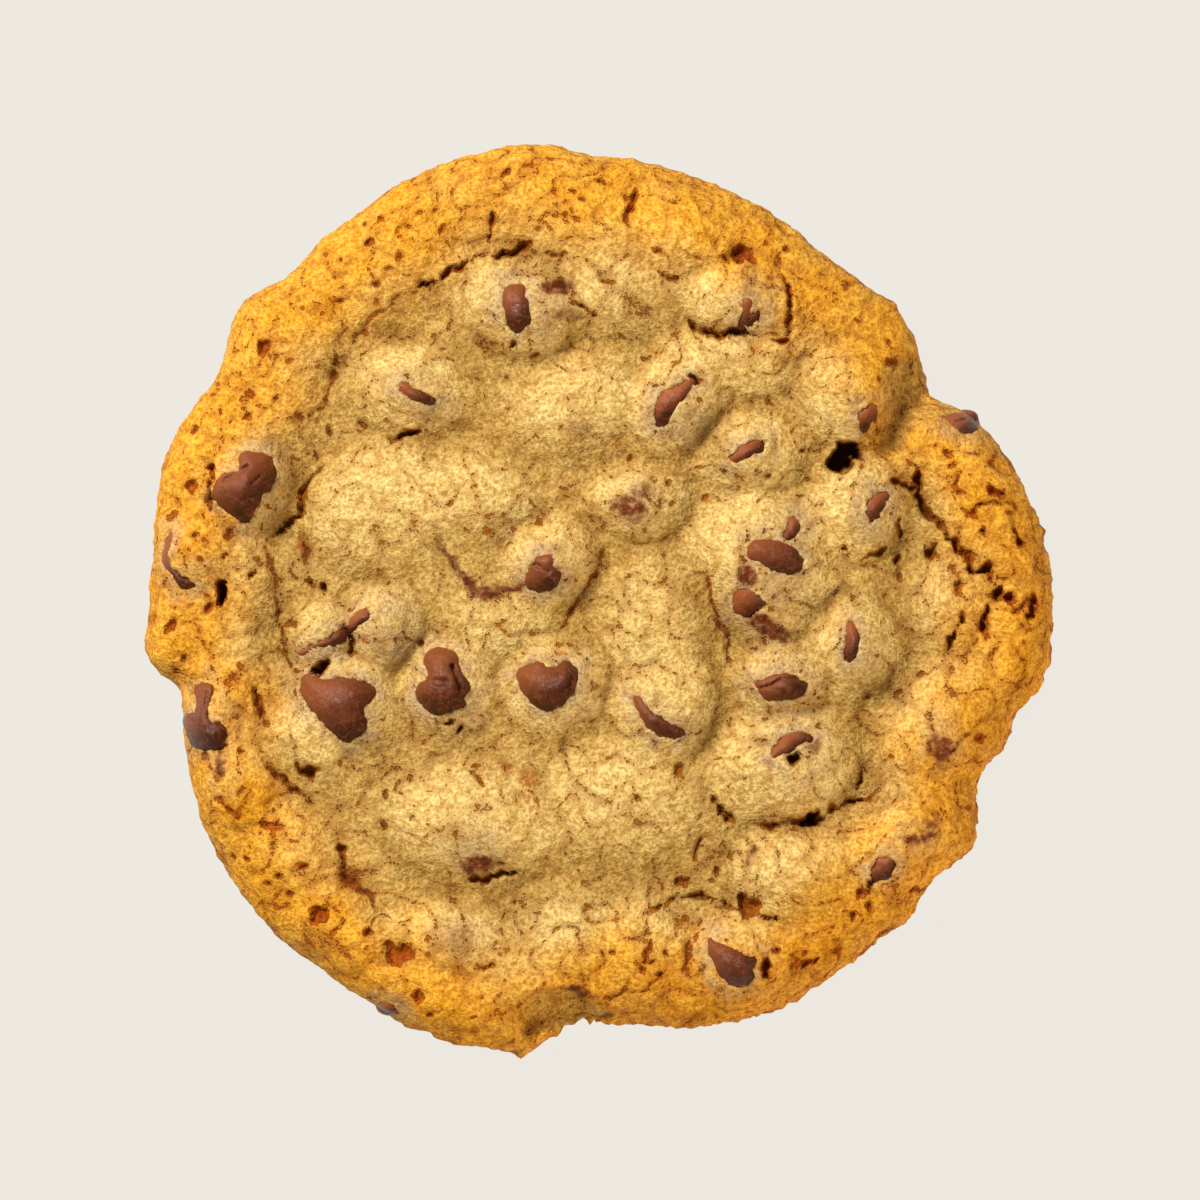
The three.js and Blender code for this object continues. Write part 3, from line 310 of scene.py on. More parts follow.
# The gaps in the crust where chocolate shows, one for each chip.
chip_outlines = {
    "chip_01": [
        (-10.3, 33.9), (-9.5, 34.5), (-8.2, 34.4), (-8.1, 33.4), (-7.7, 32.1), (-7.6, 30.7), (-8.2, 29.9),
        (-9.0, 29.2), (-9.7, 30.0), (-10.2, 31.2), (-10.4, 32.6),
    ],
    "chip_02": [
        (15.8, 32.9), (16.5, 32.8), (16.5, 32.1), (16.8, 31.4), (17.5, 31.5), (17.4, 30.7), (16.7, 30.2),
        (15.6, 30.0), (15.3, 30.6), (15.7, 31.5),
    ],
    "chip_03": [
        (6.0, 19.6), (6.4, 21.6), (7.0, 22.6), (8.1, 23.2), (9.3, 23.8), (10.0, 24.0), (10.3, 23.6),
        (9.8, 22.5), (8.7, 21.5), (7.9, 20.3), (7.0, 19.1), (6.4, 19.1),
    ],
    "chip_04": [
        (-22.0, 23.7), (-21.0, 23.5), (-19.7, 22.8), (-18.3, 22.2), (-18.0, 21.7), (-19.0, 21.6),
        (-20.5, 22.1), (-21.6, 22.8),
    ],
    "chip_05": [
        (14.5, 15.7), (15.3, 16.6), (16.4, 17.2), (17.4, 17.3), (18.0, 16.8), (17.7, 16.2), (16.6, 15.9),
        (15.5, 15.2), (14.7, 15.2),
    ],
    "chip_06": [
        (28.7, 20.6), (29.4, 21.1), (30.2, 21.4), (30.4, 20.6), (30.2, 19.7), (29.7, 19.3), (28.9, 18.5),
        (28.5, 19.3),
    ],
    "chip_07": [
        (37.8, 20.2), (39.2, 20.5), (40.6, 20.7), (41.5, 20.5), (41.7, 20.0), (41.8, 19.1), (41.0, 18.4),
        (39.9, 18.3), (39.0, 18.9), (38.8, 19.7),
    ],
    "chip_08": [
        (-42.1, 11.4), (-42.0, 12.5), (-41.5, 13.3), (-40.5, 13.8), (-39.5, 14.0), (-39.2, 14.7),
        (-39.3, 15.6), (-38.6, 16.2), (-37.5, 15.9), (-36.4, 15.9), (-36.0, 15.2), (-35.5, 13.9),
        (-35.9, 12.8), (-36.4, 11.9), (-37.3, 11.7), (-37.2, 11.1), (-37.6, 10.2), (-38.1, 9.1),
        (-38.9, 8.6), (-39.8, 9.0), (-40.8, 9.8), (-41.6, 10.5),
    ],
    "chip_09": [
        (-47.1, 7.4), (-47.6, 6.5), (-48.0, 5.4), (-48.1, 4.3), (-47.6, 3.4), (-46.9, 2.6), (-46.3, 1.8),
        (-45.6, 1.4), (-44.8, 1.5), (-44.3, 1.8), (-45.4, 2.3), (-46.3, 2.9), (-47.1, 3.8), (-47.4, 4.9),
        (-47.2, 6.0), (-46.9, 6.9),
    ],
    "chip_10": [
        (-27.3, -2.5), (-26.9, -1.8), (-26.3, -1.3), (-25.6, -1.2), (-25.1, -1.4), (-25.1, -2.0),
        (-25.6, -2.3), (-26.3, -2.6), (-26.7, -3.2), (-27.2, -3.2),
    ],
    "chip_11": [
        (-33.0, -5.9), (-31.9, -5.3), (-30.7, -4.7), (-29.6, -4.2), (-28.7, -3.6), (-28.2, -3.5),
        (-27.7, -3.8), (-28.1, -4.5), (-28.9, -4.8), (-30.0, -5.0), (-31.1, -5.2), (-32.2, -5.8),
    ],
    "chip_12": [
        (-32.7, -9.7), (-32.6, -8.6), (-32.0, -8.1), (-31.4, -8.5), (-30.1, -8.9), (-28.5, -8.7),
        (-26.8, -8.9), (-25.4, -9.3), (-24.8, -9.6), (-24.6, -10.2), (-25.1, -11.1), (-25.5, -11.3),
        (-26.0, -12.2), (-25.6, -13.3), (-25.5, -14.1), (-26.1, -14.6), (-26.6, -15.0), (-27.5, -15.5),
        (-28.3, -15.2), (-28.9, -14.7), (-29.6, -14.1), (-30.5, -13.1), (-31.2, -12.3), (-32.0, -11.3),
        (-32.6, -10.5),
    ],
    "chip_13": [
        (-19.9, -10.0), (-19.5, -9.2), (-18.9, -8.9), (-18.5, -8.0), (-18.9, -7.1), (-19.0, -6.4),
        (-18.6, -5.8), (-17.7, -5.4), (-16.7, -5.6), (-15.8, -6.1), (-15.5, -7.0), (-15.2, -8.0),
        (-14.5, -8.9), (-14.3, -9.7), (-15.1, -10.4), (-14.8, -11.3), (-15.4, -11.8), (-16.4, -12.0),
        (-17.5, -12.5), (-18.4, -12.2), (-19.2, -11.5), (-19.8, -10.7),
    ],
    "chip_14": [
        (-45.8, -13.4), (-45.4, -12.6), (-44.5, -12.6), (-44.1, -11.9), (-44.2, -10.8), (-44.4, -10.0),
        (-44.0, -9.4), (-43.2, -9.2), (-42.5, -9.6), (-42.7, -10.8), (-43.0, -11.7), (-43.1, -12.6),
        (-42.5, -13.5), (-41.7, -13.6), (-41.1, -14.1), (-41.1, -15.2), (-41.5, -16.1), (-42.6, -16.3),
        (-43.7, -16.3), (-44.7, -15.9), (-45.3, -15.0), (-45.6, -14.2),
    ],
    "chip_15": [
        (-8.0, 2.0), (-7.7, 2.9), (-7.3, 3.8), (-6.6, 4.6), (-5.5, 4.8), (-5.1, 4.2), (-5.3, 3.6),
        (-4.4, 3.1), (-4.4, 2.5), (-4.8, 1.6), (-5.6, 1.2), (-6.6, 1.0), (-7.6, 1.4),
    ],
    "chip_16": [
        (-8.8, -7.9), (-8.2, -7.4), (-7.4, -7.2), (-6.6, -6.9), (-6.0, -7.4), (-5.5, -7.5), (-4.6, -7.4),
        (-3.9, -6.9), (-3.2, -7.0), (-2.4, -7.9), (-2.4, -8.9), (-2.9, -10.1), (-4.0, -11.3), (-5.2, -11.9),
        (-5.9, -12.0), (-6.9, -11.6), (-7.9, -10.5), (-8.6, -9.3),
    ],
    "chip_17": [
        (3.9, -10.8), (4.4, -10.7), (5.2, -11.9), (5.9, -12.6), (6.8, -13.1), (7.9, -13.7), (9.1, -14.2),
        (9.2, -14.7), (8.2, -15.0), (7.2, -14.9), (6.2, -14.5), (5.1, -13.4), (4.4, -12.2), (4.0, -11.5),
    ],
    "chip_18": [
        (16.4, 5.3), (16.8, 6.1), (17.8, 6.4), (19.1, 6.3), (20.5, 5.9), (21.7, 5.1), (22.2, 4.1),
        (22.1, 3.4), (21.1, 3.0), (19.9, 3.2), (18.7, 3.7), (17.5, 4.5), (16.6, 4.7),
    ],
    "chip_19": [
        (20.7, 8.3), (21.2, 9.1), (22.0, 8.6), (21.8, 7.6), (21.1, 6.9), (20.5, 6.5), (20.4, 7.1),
        (20.7, 7.6),
    ],
    "chip_20": [
        (15.0, 0.8), (15.6, 1.3), (16.6, 1.0), (17.4, 0.2), (18.4, -0.2), (17.9, -0.8), (17.3, -1.4),
        (16.3, -1.8), (15.3, -1.5), (14.7, -0.4),
    ],
    "chip_21": [
        (31.6, 11.7), (31.8, 11.4), (31.1, 10.2), (30.6, 9.2), (30.0, 8.3), (29.6, 9.0), (29.0, 9.7),
        (29.4, 10.5), (30.2, 11.4), (31.0, 11.7),
    ],
    "chip_22": [
        (27.4, -2.5), (27.8, -2.6), (28.3, -3.8), (28.4, -5.0), (28.1, -6.1), (27.4, -6.9), (26.9, -6.0),
        (27.2, -4.8), (27.1, -3.6),
    ],
    "chip_23": [
        (17.3, -9.2), (18.0, -8.9), (19.0, -8.4), (20.2, -8.2), (21.3, -8.3), (22.1, -9.0), (22.7, -9.3),
        (22.4, -10.0), (21.7, -10.6), (20.5, -10.8), (19.0, -10.9), (17.9, -10.3),
    ],
    "chip_24": [
        (18.9, -17.3), (19.0, -16.4), (19.6, -15.6), (20.6, -14.8), (21.9, -14.5), (22.8, -14.7),
        (23.4, -15.1), (23.0, -15.6), (22.0, -15.7), (21.2, -16.4), (20.4, -16.7), (19.6, -17.0),
    ],
    "chip_25": [
        (30.5, -28.4), (31.4, -28.2), (32.2, -28.4), (32.2, -29.5), (31.9, -30.4), (31.1, -30.7),
        (30.1, -30.5), (29.8, -29.6), (30.4, -29.1),
    ],
    "chip_26": [
        (12.2, -37.1), (12.5, -37.5), (13.5, -37.8), (14.7, -38.3), (16.1, -39.1), (17.3, -39.4),
        (16.6, -40.3), (16.8, -41.3), (15.9, -42.2), (14.8, -42.3), (14.0, -41.7), (13.2, -40.8),
        (12.7, -39.7), (12.1, -38.4),
    ],
    "chip_27": [
        (-24.3, -44.8), (-23.4, -44.6), (-22.6, -45.0), (-22.3, -45.6), (-23.4, -45.7), (-24.2, -45.4),
    ],
}

# Where the skin over a chip is so thin that it looks grey, where chocolate has run into the crumb, and where
# sugar has caramelized. Each is x, y, half length, half width, turn and strength.
thin_spots = [
    (-22.8, -3.1, 4.40, 4.62, 0, 0.9), (-6.5, 30.5, 2.86, 3.30, 0, 0.8), (-4.3, 32.7, 2.64, 1.98, 0, 0.5),
    (10.4, 19.3, 3.30, 2.86, 30, 0.8), (16.3, 15.1, 3.74, 2.86, 0, 0.5), (30.0, 7.9, 2.64, 2.64, 0, 0.55),
    (19.7, 1.3, 3.74, 2.86, 0, 0.75), (19.0, -4.5, 4.18, 2.64, 0, 0.6), (28.7, -6.2, 2.64, 2.64, 0, 0.65),
    (20.6, -11.5, 4.62, 2.64, 0, 0.65), (22.3, -18.5, 4.18, 3.52, 0, 0.55),
    (-15.7, -11.1, 4.40, 5.28, 0, 0.7), (-4.3, -11.3, 4.84, 2.86, 0, 0.7),
    (9.3, -14.1, 3.74, 2.42, -20, 0.6), (-3.6, 1.9, 3.74, 2.86, 0, 0.7), (-36.4, 10.1, 3.30, 3.30, 0, 0.75),
    (-43.9, 3.0, 2.86, 2.64, 0, 0.45), (-40.8, -12.6, 2.20, 3.08, 0, 0.6),
    (-41.1, -19.6, 2.64, 3.08, 0, 0.6), (37.3, -15.7, 3.30, 3.74, 0, 0.7),
    (34.4, -26.2, 3.52, 2.64, 30, 0.6), (31.6, -29.5, 1.98, 1.98, 0, 0.5),
    (15.3, -42.5, 3.96, 1.54, 0, 0.6), (-13.5, -27.6, 4.40, 4.18, 0, 0.75),
    (-15.3, -37.0, 4.18, 3.30, 0, 0.6), (-30.0, -6.2, 3.74, 1.32, 20, 0.7),
    (31.4, 18.9, 2.86, 2.20, 0, 0.6), (16.4, 34.7, 2.64, 2.42, 0, 0.5), (17.9, 32.3, 2.20, 4.18, 0, 0.55),
    (4.2, 10.9, 3.74, 3.30, 0, 0.6), (-32.3, 4.3, 2.20, 2.20, 0, 0.3), (-19.7, 21.7, 3.52, 1.98, -20, 0.4),
    (27.2, 22.8, 1.76, 1.32, 0, 0.3), (40.4, 17.5, 2.86, 1.32, -10, 0.5),
]
chocolate_smears = [
    (-4.8, 34.4, 1.54, 0.77, 0, 0.9), (-3.5, 31.3, 1.76, 0.55, 0, 0.5), (16.4, 35.5, 0.88, 1.54, 0, 0.4),
    (-41.6, -18.1, 0.44, 1.54, 0, 0.8), (-17.4, 5.9, 0.99, 0.44, -60, 0.6),
    (-15.8, 3.7, 1.32, 0.39, -60, 0.8), (-14.3, 2.0, 1.10, 0.44, -50, 0.9),
    (-11.9, 0.8, 1.76, 0.55, 5, 0.9), (-9.1, 1.3, 1.10, 0.44, 15, 0.8), (3.2, 10.2, 1.65, 1.10, -25, 0.75),
    (4.8, 11.8, 0.88, 0.77, 0, 0.5), (16.4, 2.6, 0.88, 0.88, 0, 0.9), (18.6, -3.1, 2.09, 0.77, -28, 0.9),
    (37.3, -16.3, 1.10, 1.43, 0, 0.8), (34.3, -26.2, 0.99, 0.55, 0, 0.7),
    (36.3, -25.4, 0.66, 1.10, -20, 0.7), (16.5, -28.2, 0.39, 1.32, -15, 0.6),
    (-12.9, -29.0, 1.65, 0.77, 0, 0.8), (-2.3, -43.0, 1.32, 0.55, -10, 0.8),
    (-15.2, -36.8, 1.32, 0.88, 0, 0.3), (-2.0, 18.9, 1.32, 0.88, 0, 0.35), (31.4, 18.4, 0.88, 1.65, 0, 0.5),
    (23.4, -16.1, 0.66, 0.77, 0, 0.5),
]
# Valleys whose colour is darkened with painted shade: x, y, half length, half width, turn and strength.
deep_hollows = [
    (-20.5, 32.0, 9.5, 2.6, 38, 1.0), (-28.5, 22.5, 5.5, 2.4, 62, 0.9), (-33.5, 11.0, 5.0, 1.8, 80, 0.8),
    (-34.8, -4.0, 5.5, 1.8, -85, 0.8), (-34.5, -18.5, 6.0, 2.2, -50, 0.9),
    (-27.0, -30.0, 7.0, 2.4, -60, 0.9), (12.5, 17.0, 2.0, 4.5, -20, 0.8), (29.5, -14.5, 2.2, 5.5, 0, 0.8),
    (13.6, -6.0, 1.8, 6.0, 10, 0.8), (-16.0, -30.5, 6.0, 1.8, 8, 0.7), (20.5, -24.8, 7.0, 1.6, 5, 0.8),
    (33.6, 12.0, 4.5, 1.6, -55, 0.7), (0.0, 0.5, 1.6, 5.5, -25, 0.6), (26.0, 29.0, 3.0, 5.0, 30, 0.6),
    (22.0, 22.5, 1.8, 5.0, 0, 0.7),
]
sugar_spots = [
    (-10.3, -18.5, 0.99, 0.77, 0, 0.7), (-7.6, -19.5, 1.21, 0.99, 0, 0.8),
    (-8.0, -21.6, 0.88, 0.66, 0, 0.6), (-4.0, -5.6, 0.39, 0.49, 0, 0.9), (-25.6, -4.1, 0.44, 0.55, 0, 0.95),
    (-14.2, 17.7, 0.66, 0.44, 0, 0.6), (-6.3, 16.1, 0.55, 0.44, 0, 0.6), (-32.3, 5.6, 1.10, 0.66, 0, 0.85),
    (-32.9, 6.3, 0.55, 0.99, 0, 0.85), (-35.3, 28.7, 1.10, 0.66, 0, 0.5),
    (21.3, -30.4, 0.44, 0.99, -20, 0.7), (15.6, 38.4, 1.98, 1.10, 0, 0.6), (32.2, 26.0, 1.54, 1.10, 0, 0.5),
    (25.3, -0.4, 0.77, 0.44, 0, 0.6), (-28.3, -9.0, 3.74, 0.39, -5, 0.8),
]

# How many different slopes and places the noise and the grains below draw from: a power of two.
CELL_KINDS = 4096

# Parts of the rim that split into crags: x, y, half length, half width, turn and strength.
crag_zones = [
    (42.5, 3.0, 7.0, 15.0, 0, 0.7), (3.5, -38.5, 12.0, 7.5, 0, 0.5), (-31.0, -32.0, 12.0, 6.0, -48, 0.45),
    (30.0, -35.0, 10.0, 5.0, 40, 0.4), (-44.0, -3.0, 4.0, 8.0, 0, 0.25), (40.0, -10.0, 5.0, 8.0, 0, 0.4),
]


def rim_distance(angle):
    """Distance from the middle to the rim in a direction, on a smooth curve through the rim's turns."""
    degrees = np.degrees(angle) % 360
    at = np.concatenate([rim_turns[-2:, 0] - 360, rim_turns[:, 0], rim_turns[:2, 0] + 360])
    reach = np.concatenate([rim_turns[-2:, 1], rim_turns[:, 1], rim_turns[:2, 1]])
    b = np.searchsorted(at, degrees, side="right") - 1
    step = at[b + 1] - at[b]
    t = (degrees - at[b]) / step
    slope_in = (reach[b + 1] - reach[b - 1]) / (at[b + 1] - at[b - 1]) * step
    slope_out = (reach[b + 2] - reach[b]) / (at[b + 2] - at[b]) * step
    return ((2 * t**3 - 3 * t**2 + 1) * reach[b] + (t**3 - 2 * t**2 + t) * slope_in
            + (3 * t**2 - 2 * t**3) * reach[b + 1] + (t**3 - t**2) * slope_out)


def path_distance(x, y, path):
    """Distance from points to a line of straight stretches, and how far along it each lies, from 0 to 1."""
    path = np.asarray(path, float)
    lengths = np.hypot(*np.diff(path, axis=0).T)
    starts = np.concatenate([[0], np.cumsum(lengths)])
    nearest = np.full(x.shape, np.inf)
    along = np.zeros(x.shape)
    for (ax, ay), (bx, by), length, start in zip(path, path[1:], lengths, starts):
        t = np.clip(((x - ax) * (bx - ax) + (y - ay) * (by - ay)) / length**2, 0, 1)
        distance = np.hypot(x - ax - t * (bx - ax), y - ay - t * (by - ay))
        closer = distance < nearest
        nearest = np.where(closer, distance, nearest)
        along = np.where(closer, (start + t * length) / starts[-1], along)
    return nearest, along


def oval_share(x, y, middle_x, middle_y, half_length, half_width, turn):
    """Place of points in a turned oval: 0 at its middle and 1 on its edge."""
    cos, sin = np.cos(np.radians(turn)), np.sin(np.radians(turn))
    u = ((x - middle_x) * cos + (y - middle_y) * sin) / half_length
    v = ((y - middle_y) * cos - (x - middle_x) * sin) / half_width
    return np.hypot(u, v)


def smooth_step(low, high, value):
    """0 below low, 1 above high, and a smooth rise between them."""
    t = np.clip((value - low) / (high - low), 0, 1)
    return t * t * (3 - 2 * t)


def bump(share):
    """A swelling: 1 in its middle, with a round top and a soft foot."""
    return np.where(share < 1, (1 - np.minimum(share, 1) ** 2) ** 2, 0)


def dome(share):
    """A risen mound: round on top, with steeper sides than a bump."""
    return (1 - np.minimum(share, 1) ** 2) ** MOUND_STEEPNESS


def crust_relief(x, y):
    """How far the crust stands above or below a plain round of the rim's height."""
    inset = np.maximum(rim_distance(np.arctan2(y, x)) - np.hypot(x, y), 0)
    relief = CREST_RISE * bump(np.abs(inset - CREST_INSET) / CREST_WIDTH)
    raised = np.zeros(np.shape(x))
    for *oval, height in mounds:
        raised = raised + (height * dome(oval_share(x, y, *oval))) ** MOUND_MERGE
    relief = relief + raised ** (1 / MOUND_MERGE)
    for depth, half_width, path in folds:
        relief = relief - depth * bump(path_distance(x, y, path)[0] / half_width)
    for *oval, depth in scars:
        relief = relief - depth * (1 - np.minimum(oval_share(x, y, *oval), 1) ** 2)
    return relief


def crust_height(x, y):
    """Height of the smooth crust over points, falling round the shoulder to the belly at the rim."""
    inset = np.maximum(rim_distance(np.arctan2(y, x)) - np.hypot(x, y), 0)
    shoulder = np.sqrt(1 - (1 - np.minimum(inset / SHOULDER_WIDTH, 1)) ** 2)
    return BELLY_HEIGHT + (RIM_HEIGHT - BELLY_HEIGHT + crust_relief(x, y)) * shoulder


def corner_mix(cells, seed):
    """A well mixed whole number below CELL_KINDS for each cell of a grid."""
    key = (cells[..., 0] * 73856093) ^ (cells[..., 1] * 19349663)
    key = key ^ (cells[..., 2] * 83492791) ^ (seed * 2654435)
    key = key ^ (key >> 15)
    return (key * 40503 >> 5) & (CELL_KINDS - 1)


def noise(points, spacing, seed):
    """Smooth noise from about -1 to 1, with its bumps one spacing apart."""
    slopes = np.random.default_rng(seed).normal(size=(CELL_KINDS, 3))
    slopes /= np.linalg.norm(slopes, axis=1, keepdims=True)
    place = points / spacing
    base = np.floor(place).astype(np.int64)
    part = place - base
    fade = part**3 * (part * (part * 6 - 15) + 10)
    total = np.zeros(len(points))
    for corner in np.ndindex(2, 2, 2):
        rise = np.einsum("ij,ij->i", slopes[corner_mix(base + corner, seed)], part - corner)
        total += rise * np.prod(np.where(corner, fade, 1 - fade), axis=1)
    return 1.7 * total


def grains(points, spacing, seed):
    """Packed grains about one spacing wide: 0 in the gaps between them and 1 at their middles."""
    offsets = np.random.default_rng(seed).uniform(0.1, 0.9, (CELL_KINDS, 3))
    place = points / spacing
    base = np.floor(place).astype(np.int64)
    first = np.full(len(points), 9.0)
    second = np.full(len(points), 9.0)
    for step in np.ndindex(3, 3, 3):
        cell = base + np.array(step) - 1
        distance = np.linalg.norm(cell + offsets[corner_mix(cell, seed)] - place, axis=1)
        second = np.where(distance < first, first, np.minimum(second, distance))
        first = np.minimum(first, distance)
    return np.clip((second - first) / 0.55, 0, 1)


def smooth_outline(corners, steps=4):
    """A closed curve through given corners."""
    corners = np.asarray(corners, float)
    before, after, beyond = np.roll(corners, 1, 0), np.roll(corners, -1, 0), np.roll(corners, -2, 0)
    t = (np.arange(steps) / steps)[None, :, None]
    a, b, c, d = (part[:, None, :] for part in (before, corners, after, beyond))
    curve = 0.5 * (2 * b + (c - a) * t + (2 * a - 5 * b + 4 * c - d) * t**2 + (3 * b - a - 3 * c + d) * t**3)
    return curve.reshape(-1, 2)


def inside_distance(x, y, outline):
    """Distance from points to a closed outline, positive inside it."""
    closed = np.vstack([outline, outline[:1]])
    distance = path_distance(x, y, closed)[0]
    within = np.zeros(x.shape, bool)
    for (ax, ay), (bx, by) in zip(closed, closed[1:]):
        if ay != by:
            crosses = (ay > y) != (by > y)
            within ^= crosses & (x < ax + (y - ay) * (bx - ax) / (by - ay))
    return np.where(within, distance, -distance)


# The mesh starts as a smooth round: the top in rings, then rows over the shoulder, down to the foot and
# under. Ring after ring gains six points, so the triangles keep one size of about a third of a millimetre.
# A point's drop is 0 on top, then its turn over the shoulder in radians, then one more down the foot.
TOP_RINGS = 142
SHOULDER_ROWS = 25
FOOT_ROWS = 6
BASE_ROWS = 9
AROUND = 6 * TOP_RINGS
UNDERSIDE_DROP = 4.0

angles = [np.zeros(1)]
reaches = [np.zeros(1)]
drops = [np.zeros(1)]
for ring in range(1, TOP_RINGS + 1):
    angle = np.arange(6 * ring) / (6 * ring) * 2 * np.pi
    angles.append(angle)
    reaches.append((rim_distance(angle) - SHOULDER_WIDTH) * ring / TOP_RINGS)
    drops.append(np.zeros(6 * ring))
edge_angle = angles[-1]
edge_reach = rim_distance(edge_angle)
for row in range(1, SHOULDER_ROWS + 1):
    turn = row / SHOULDER_ROWS * np.pi / 2
    angles.append(edge_angle)
    reaches.append(edge_reach - SHOULDER_WIDTH * (1 - np.sin(turn)))
    drops.append(np.full(AROUND, turn))
for row in range(1, FOOT_ROWS + 1):
    angles.append(edge_angle)
    reaches.append(edge_reach - FOOT_INSET * (row / FOOT_ROWS) ** 2)
    drops.append(np.full(AROUND, np.pi / 2 + row / FOOT_ROWS))
for row in range(1, BASE_ROWS + 1):
    angles.append(edge_angle)
    reaches.append((edge_reach - FOOT_INSET) * (1 - row / (BASE_ROWS + 1)) ** 1.3)
    drops.append(np.full(AROUND, UNDERSIDE_DROP))
angles = np.append(np.concatenate(angles), 0)
reaches = np.append(np.concatenate(reaches), 0)
drops = np.append(np.concatenate(drops), UNDERSIDE_DROP)

x = reaches * np.cos(angles)
y = reaches * np.sin(angles)
on_top = drops <= np.pi / 2
on_foot = ~on_top & (drops < 3)
on_base = drops > 3
shoulder = np.where(on_top, np.cos(np.minimum(drops, np.pi / 2)), 0)

faces = []
starts = np.concatenate([[0, 1], 1 + np.cumsum(6 * np.arange(1, TOP_RINGS + 1))])
for ring in range(1, TOP_RINGS + 1):
    side, step = np.divmod(np.arange(6 * ring), ring)
    outer = starts[ring] + np.arange(6 * ring)
    outer_next = starts[ring] + (np.arange(6 * ring) + 1) % (6 * ring)
    inner_count = max(6 * (ring - 1), 1)
    inner = starts[ring - 1] + (side * (ring - 1) + step) % inner_count
    inner_next = starts[ring - 1] + (side * (ring - 1) + step + 1) % inner_count
    faces.append(np.stack([outer, outer_next, inner], 1))
    whole = step + 1 < ring
    faces.append(np.stack([inner, outer_next, inner_next], 1)[whole])
upper = starts[TOP_RINGS]
for row in range(SHOULDER_ROWS + FOOT_ROWS + BASE_ROWS):
    a = upper + np.arange(AROUND)
    b = upper + (np.arange(AROUND) + 1) % AROUND
    faces.append(np.stack([a, a + AROUND, b], 1))
    faces.append(np.stack([b, a + AROUND, b + AROUND], 1))
    upper += AROUND
base_middle = np.full(AROUND, len(x) - 1)
faces.append(np.stack([upper + (np.arange(AROUND) + 1) % AROUND, upper + np.arange(AROUND), base_middle], 1))
faces = np.concatenate(faces)

# Where things lie is looked up at places that are nudged about, so that no edge comes out ruled or drawn.
flat_place = np.stack([x, y, np.where(on_top, 0, -drops)], 1)
nudge = 0.42 * np.stack([noise(flat_place, 2.4, 11), noise(flat_place, 2.4, 12)], 1)
nudge += 0.34 * np.stack([noise(flat_place, 1.0, 13), noise(flat_place, 1.0, 14)], 1)
near_x, near_y = x + nudge[:, 0], y + nudge[:, 1]
inset = rim_distance(angles) - reaches
rim_share = 1 - smooth_step(5.0, 15.0, inset + 2.4 * noise(flat_place, 7.0, 15))

# The lower right of the picture lies away from the window. How far that way each point is, from -1 to 1:
LOWER_RIGHT = np.array([0.62, -0.78])
COOKIE_RADIUS = 50
lower_side = (x * LOWER_RIGHT[0] + y * LOWER_RIGHT[1]) / COOKIE_RADIUS

height = BELLY_HEIGHT + (RIM_HEIGHT - BELLY_HEIGHT + crust_relief(x, y)) * shoulder
foot_share = np.clip((drops - np.pi / 2), 0, 1)
height = np.where(on_foot, BELLY_HEIGHT * (1 - foot_share), height)
height = np.where(on_base, 0.0, height)
slope = np.minimum(drops, np.pi / 2)
outward = np.stack([np.sin(slope) * np.cos(angles), np.sin(slope) * np.sin(angles), np.cos(slope)], 1)
outward[on_base] = (0, 0, -1)


def strongest(spots, soft_from, soft_to):
    """The largest share that any listed oval gives each point. Each oval ends with its strength."""
    share = np.zeros(len(x))
    for *oval, strength in spots:
        fade = smooth_step(soft_from, soft_to, oval_share(near_x, near_y, *oval))
        share = np.maximum(share, strength * (1 - fade))
    return share


# The crumb: soft lumps that break into smaller ones, down to under a millimetre. Parts of the rim have split
# into clods, which stand apart with gaps between them, while the skin at the very edge stays smoother.
# In each noise, the numbers are the width of its bumps in millimetres and its seed.
CLOD_WIDTH = 3.6
solid_place = np.stack([x, y, height], 1)
nudged_place = solid_place + np.stack([nudge[:, 0], nudge[:, 1], 0 * x], 1)
craggy = strongest(crag_zones, 0.4, 1.3)
clod_edge = np.abs(noise(nudged_place, CLOD_WIDTH, 22))
smoother = 1 - 0.35 * smooth_step(4.0, 1.0, inset)
lumps = 0.26 * noise(solid_place, 5.2, 23) + 0.17 * noise(solid_place, 2.9, 24)
crumb = 0.10 * noise(nudged_place, 2.3, 25) + 0.16 * noise(nudged_place, 1.35, 26)
crumb += 0.15 * noise(solid_place, 0.8, 27)
roughness = lumps + (0.75 + 0.35 * rim_share) * smoother * crumb
roughness += craggy * (0.8 * np.minimum(clod_edge, 0.6) - 0.25)

# Teeth and crumbs that stand out from the very edge of the rim, most of them at the lower right.
# Each crumb is x, y, radius and rise.
TOOTH_WIDTH = 1.1
rim_crumbs = [
    (32.1, 32.7, 1.0, 0.5), (49.0, 7.6, 0.8, 0.4), (5.1, -47.8, 1.1, 0.8), (27.7, -39.5, 0.9, 0.7),
    (-8.3, -50.4, 1.0, 0.6), (15.5, -47.2, 0.9, 0.4), (-36.8, 35.6, 0.9, 0.4),
]
at_edge = smooth_step(1.0, 0.2, inset) * ~on_base
jagged = 0.14 + 0.26 * smooth_step(0.1, 0.8, lower_side)
roughness += at_edge * jagged * np.maximum(noise(solid_place, TOOTH_WIDTH, 28), -0.3)
for crumb_x, crumb_y, radius, rise in rim_crumbs:
    roughness += rise * bump(np.hypot(near_x - crumb_x, near_y - crumb_y) / radius) * at_edge
